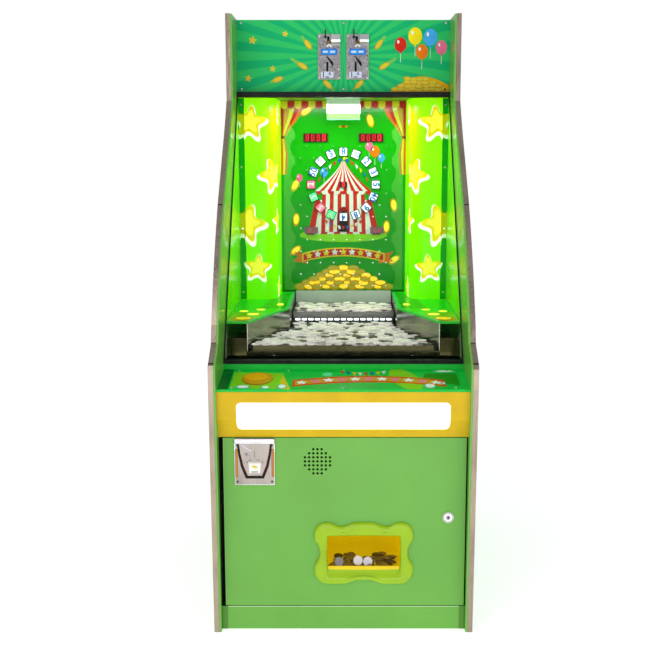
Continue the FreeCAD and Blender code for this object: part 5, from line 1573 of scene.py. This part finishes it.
def make_door_details():
    """Pale edges, darker green painted shadow beside the kick panel, black painted shade beside the door, and
    the face of the lock.
    """
    low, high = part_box("front_door")
    art = Print("door_edge_art", "service_door", on_front(low.y), "green_laminate")
    art.add(rectangle(low.x + 0.0003, low.z + 0.001, low.x + 0.0012, high.z - 0.001), "soft_edge", 1)
    art.done()
    kick_low, kick_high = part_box("kick_panel")
    art = Print("kick_edge_art", "cabinet", on_front(kick_low.y), "green_laminate")
    art.add(rectangle(kick_low.x + 0.001, kick_high.z - 0.0016, kick_high.x - 0.001, kick_high.z - 0.0003),
            "pale_edge", 1)
    art.done()
    frame_low, frame_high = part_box("door_frame")
    # Darker green strips beside the kick panel: the painted shadow of the side panels.
    art = Print("kick_filler_art", "cabinet", on_front(frame_low.y), "green_laminate")
    for sign in (-1, 1):
        x0, x1 = sorted((sign * (kick_high.x + 0.0005), sign * (frame_high.x - 0.0005)))
        art.add(rectangle(x0, 0.001, x1, kick_high.z), "filler", 1)
    art.done()
    for side, sign in (("left", -1), ("right", 1)):
        # Black on the side walls in the gaps beside the door: painted shade.
        art = Print(f"door_gap_painted_shade_{side}", "cabinet", on_wall(sign), "black_rubber")
        art.add(rectangle(low.y - 0.004, low.z, high.y, high.z), "shadow", 1)
        art.done()

    lock_low, lock_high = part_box("door_lock")
    cx, cz = (lock_low.x + lock_high.x) / 2, (lock_low.z + lock_high.z) / 2
    art = Print("lock_face", "lock_cam", on_front(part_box("door_lock_cam")[0].y), "lock_chrome")
    art.add(ellipse(cx, cz, 0.0052, count=28), "ink_ash", 1)
    art.add(rectangle(cx - 0.0009, cz - 0.0036, cx + 0.0009, cz + 0.0036), "ink_black", 2)
    art.done()
    art = Print("lock_rings", "service_door", on_front(lock_low.y), "lock_chrome")
    outer = ellipse(cx, cz, 0.0125, count=40)
    middle = ellipse(cx, cz, 0.0108, count=40)
    for i in range(40):
        j = (i + 1) % 40
        art.add([outer[i], outer[j], middle[j], middle[i]], "ink_ash", 1)
    art.done()


def make_wall_prints():
    """Print on the side walls between the glass and the wings, with a painted glow."""
    glass_low, glass_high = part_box("front_glass")
    wing_low, wing_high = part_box("wing_panel_right")
    lean = (glass_high.y - glass_low.y) / (glass_high.z - glass_low.z)
    margin = 0.022
    head = wing_high.z - 0.004
    foot = wing_low.z + 0.004

    def behind_glass(z):
        return glass_low.y + (z - glass_low.z) * lean + margin

    for side, sign in (("left", -1), ("right", 1)):
        art = Print(f"wall_print_{side}", "cabinet", on_wall(sign), "printed_stage")
        back = wing_low.y - 0.001
        top = min(head, glass_low.z + (back - 0.004 - margin - glass_low.y) / lean)
        art.add([(behind_glass(foot), foot), (back, foot), (back, top), (behind_glass(top), top)], "wall", 1)
        art.done()


def make_stage_extras():
    """Mirror slopes beside the bed's front, and the clear lip under the coin chute."""
    deck_low, deck_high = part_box("deck_right")
    rail_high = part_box("bed_side_rails")[1]
    chute_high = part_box("win_chute")[1]
    for side, sign in (("left", -1), ("right", 1)):
        inner, outer = sign * (rail_high.x + 0.001), sign * (deck_high.x - 0.0015)

        def slope(work):
            y_back, y_front = deck_low.y + 0.012, deck_low.y + 0.001
            z_high, z_low = 0.712, chute_high.z + 0.001
            profile = [(y_back, z_high), (y_front, z_low), (y_front + 0.0015, z_low),
                       (y_back + 0.0015, z_high)]
            ends = [[work.verts.new((x, y, z)) for y, z in profile] for x in (inner, outer)]
            work.faces.new(ends[0])
            work.faces.new(list(reversed(ends[1])))
            for i in range(4):
                j = (i + 1) % 4
                work.faces.new((ends[0][i], ends[1][i], ends[1][j], ends[0][j]))

        # Mirror slopes whose olive tint is a painted reflection.
        bevel_mesh(f"gutter_mirror_{side}", slope, "cabinet", "mirror_painted_reflection", "mirror_steel", 0.0003)
    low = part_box("coin_chute")[0]
    front = low.y

    def lip(work):
        add_prism(work, rectangle(-0.0495, low.z - 0.020, 0.0495, low.z - 0.0002), front + 0.001,
                  front + 0.003)

    bevel_mesh("chute_lip", lip, "cabinet", "acrylic", "clear_acrylic", 0.0004)
    art = Print("chute_lip_edge", "cabinet", on_front(front + 0.001), "clear_acrylic")
    art.add(rectangle(-0.0490, low.z - 0.0200, 0.0490, low.z - 0.0185), "lit_mint", 1)
    art.done()


# ------------------------------------------------------------------ light, floor and camera
def area_light(name, place, aim, size, power, colour=(1, 1, 1)):
    data = bpy.data.lights.new(name, "AREA")
    data.shape = "RECTANGLE"
    data.size, data.size_y = size
    data.energy = power
    data.color = colour
    lamp = bpy.data.objects.new(name, data)
    lamp.location = place
    lamp.rotation_euler = (Vector(aim) - Vector(place)).to_track_quat("-Z", "Y").to_euler()
    bpy.context.scene.collection.objects.link(lamp)
    return lamp


def make_studio():
    world = bpy.data.worlds.new("studio")
    world.use_nodes = True
    tree = world.node_tree
    backdrop = tree.nodes["Background"]
    backdrop.inputs["Color"].default_value = (1.0, 1.0, 1.0, 1.0)
    backdrop.inputs["Strength"].default_value = 1.0
    ambient = tree.nodes.new("ShaderNodeBackground")
    ambient.inputs["Color"].default_value = (0.93, 0.96, 1.0, 1.0)
    ambient.inputs["Strength"].default_value = 0.55
    rays = tree.nodes.new("ShaderNodeLightPath")
    blend = tree.nodes.new("ShaderNodeMixShader")
    tree.links.new(rays.outputs["Is Camera Ray"], blend.inputs[0])
    tree.links.new(ambient.outputs[0], blend.inputs[1])
    tree.links.new(backdrop.outputs[0], blend.inputs[2])
    tree.links.new(blend.outputs[0], tree.nodes["World Output"].inputs["Surface"])
    bpy.context.scene.world = world
    middle = Vector((0, 0, 0.9))
    area_light("key", (-1.7, -3.2, 3.0), middle, (1.8, 1.8), 34)
    area_light("fill", (2.4, -2.6, 1.7), middle, (1.6, 2.2), 14)
    area_light("low_front", (0.2, -3.4, 0.5), (0, 0, 0.4), (2.4, 0.8), 14)
    stage_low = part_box("backboard")[0]
    area_light("canopy_lamp", (0, stage_low.y - 0.16, 1.33), (0, stage_low.y - 0.10, 0.75), (0.34, 0.10), 2.4,
               (1.0, 1.0, 1.0))

    work = bmesh.new()
    size, steps = 6.0, 12
    grid = [[work.verts.new((-size + 2 * size * i / steps, -size + 2 * size * j / steps, -0.0005))
             for j in range(steps + 1)] for i in range(steps + 1)]
    for i in range(steps):
        for j in range(steps):
            work.faces.new((grid[i][j], grid[i + 1][j], grid[i + 1][j + 1], grid[i][j + 1]))
    data = bpy.data.meshes.new("studio_floor")
    work.to_mesh(data)
    work.free()
    floor = bpy.data.objects.new("studio_floor", data)
    bpy.context.scene.collection.objects.link(floor)
    pale = (0.9, 0.9, 0.9, 1.0)
    surface = Surface("floor_paper", pale, 0.9).mottle(pale, 0.5, 0.01)
    surface.glow(0.55, (1.0, 1.0, 1.0, 1.0))
    data.materials.append(surface.material)


CAMERA_LENS_MM = 57.6
CAMERA_SENSOR_MM = 36.0
CAMERA_SHIFT = -0.0283
CAMERA_DISTANCE = 2.434
CAMERA_HEIGHT = 1.194
CAMERA_PITCH = 9.44


def make_camera():
    data = bpy.data.cameras.new("camera")
    data.lens = CAMERA_LENS_MM
    data.sensor_width = CAMERA_SENSOR_MM
    data.shift_x = CAMERA_SHIFT
    data.clip_start = 0.05
    data.clip_end = 60.0
    camera = bpy.data.objects.new("camera", data)
    camera.location = (0.0, FRONT - CAMERA_DISTANCE, CAMERA_HEIGHT)
    camera.rotation_euler = (math.radians(90 - CAMERA_PITCH), 0.0, 0.0)
    bpy.context.scene.collection.objects.link(camera)
    bpy.context.scene.camera = camera


finish_cad_nodes()
make_tokens()
make_marquee()
make_acceptor_details()
make_wings()
make_stage_art()
make_ring()
make_displays()
make_shelf()
make_deck_art()
make_stage_extras()
make_wall_prints()
make_ticket_plate_details()
make_bezel()
make_tray_tokens()
make_door_details()
make_studio()
make_camera()
bpy.context.scene.view_settings.view_transform = "Standard"
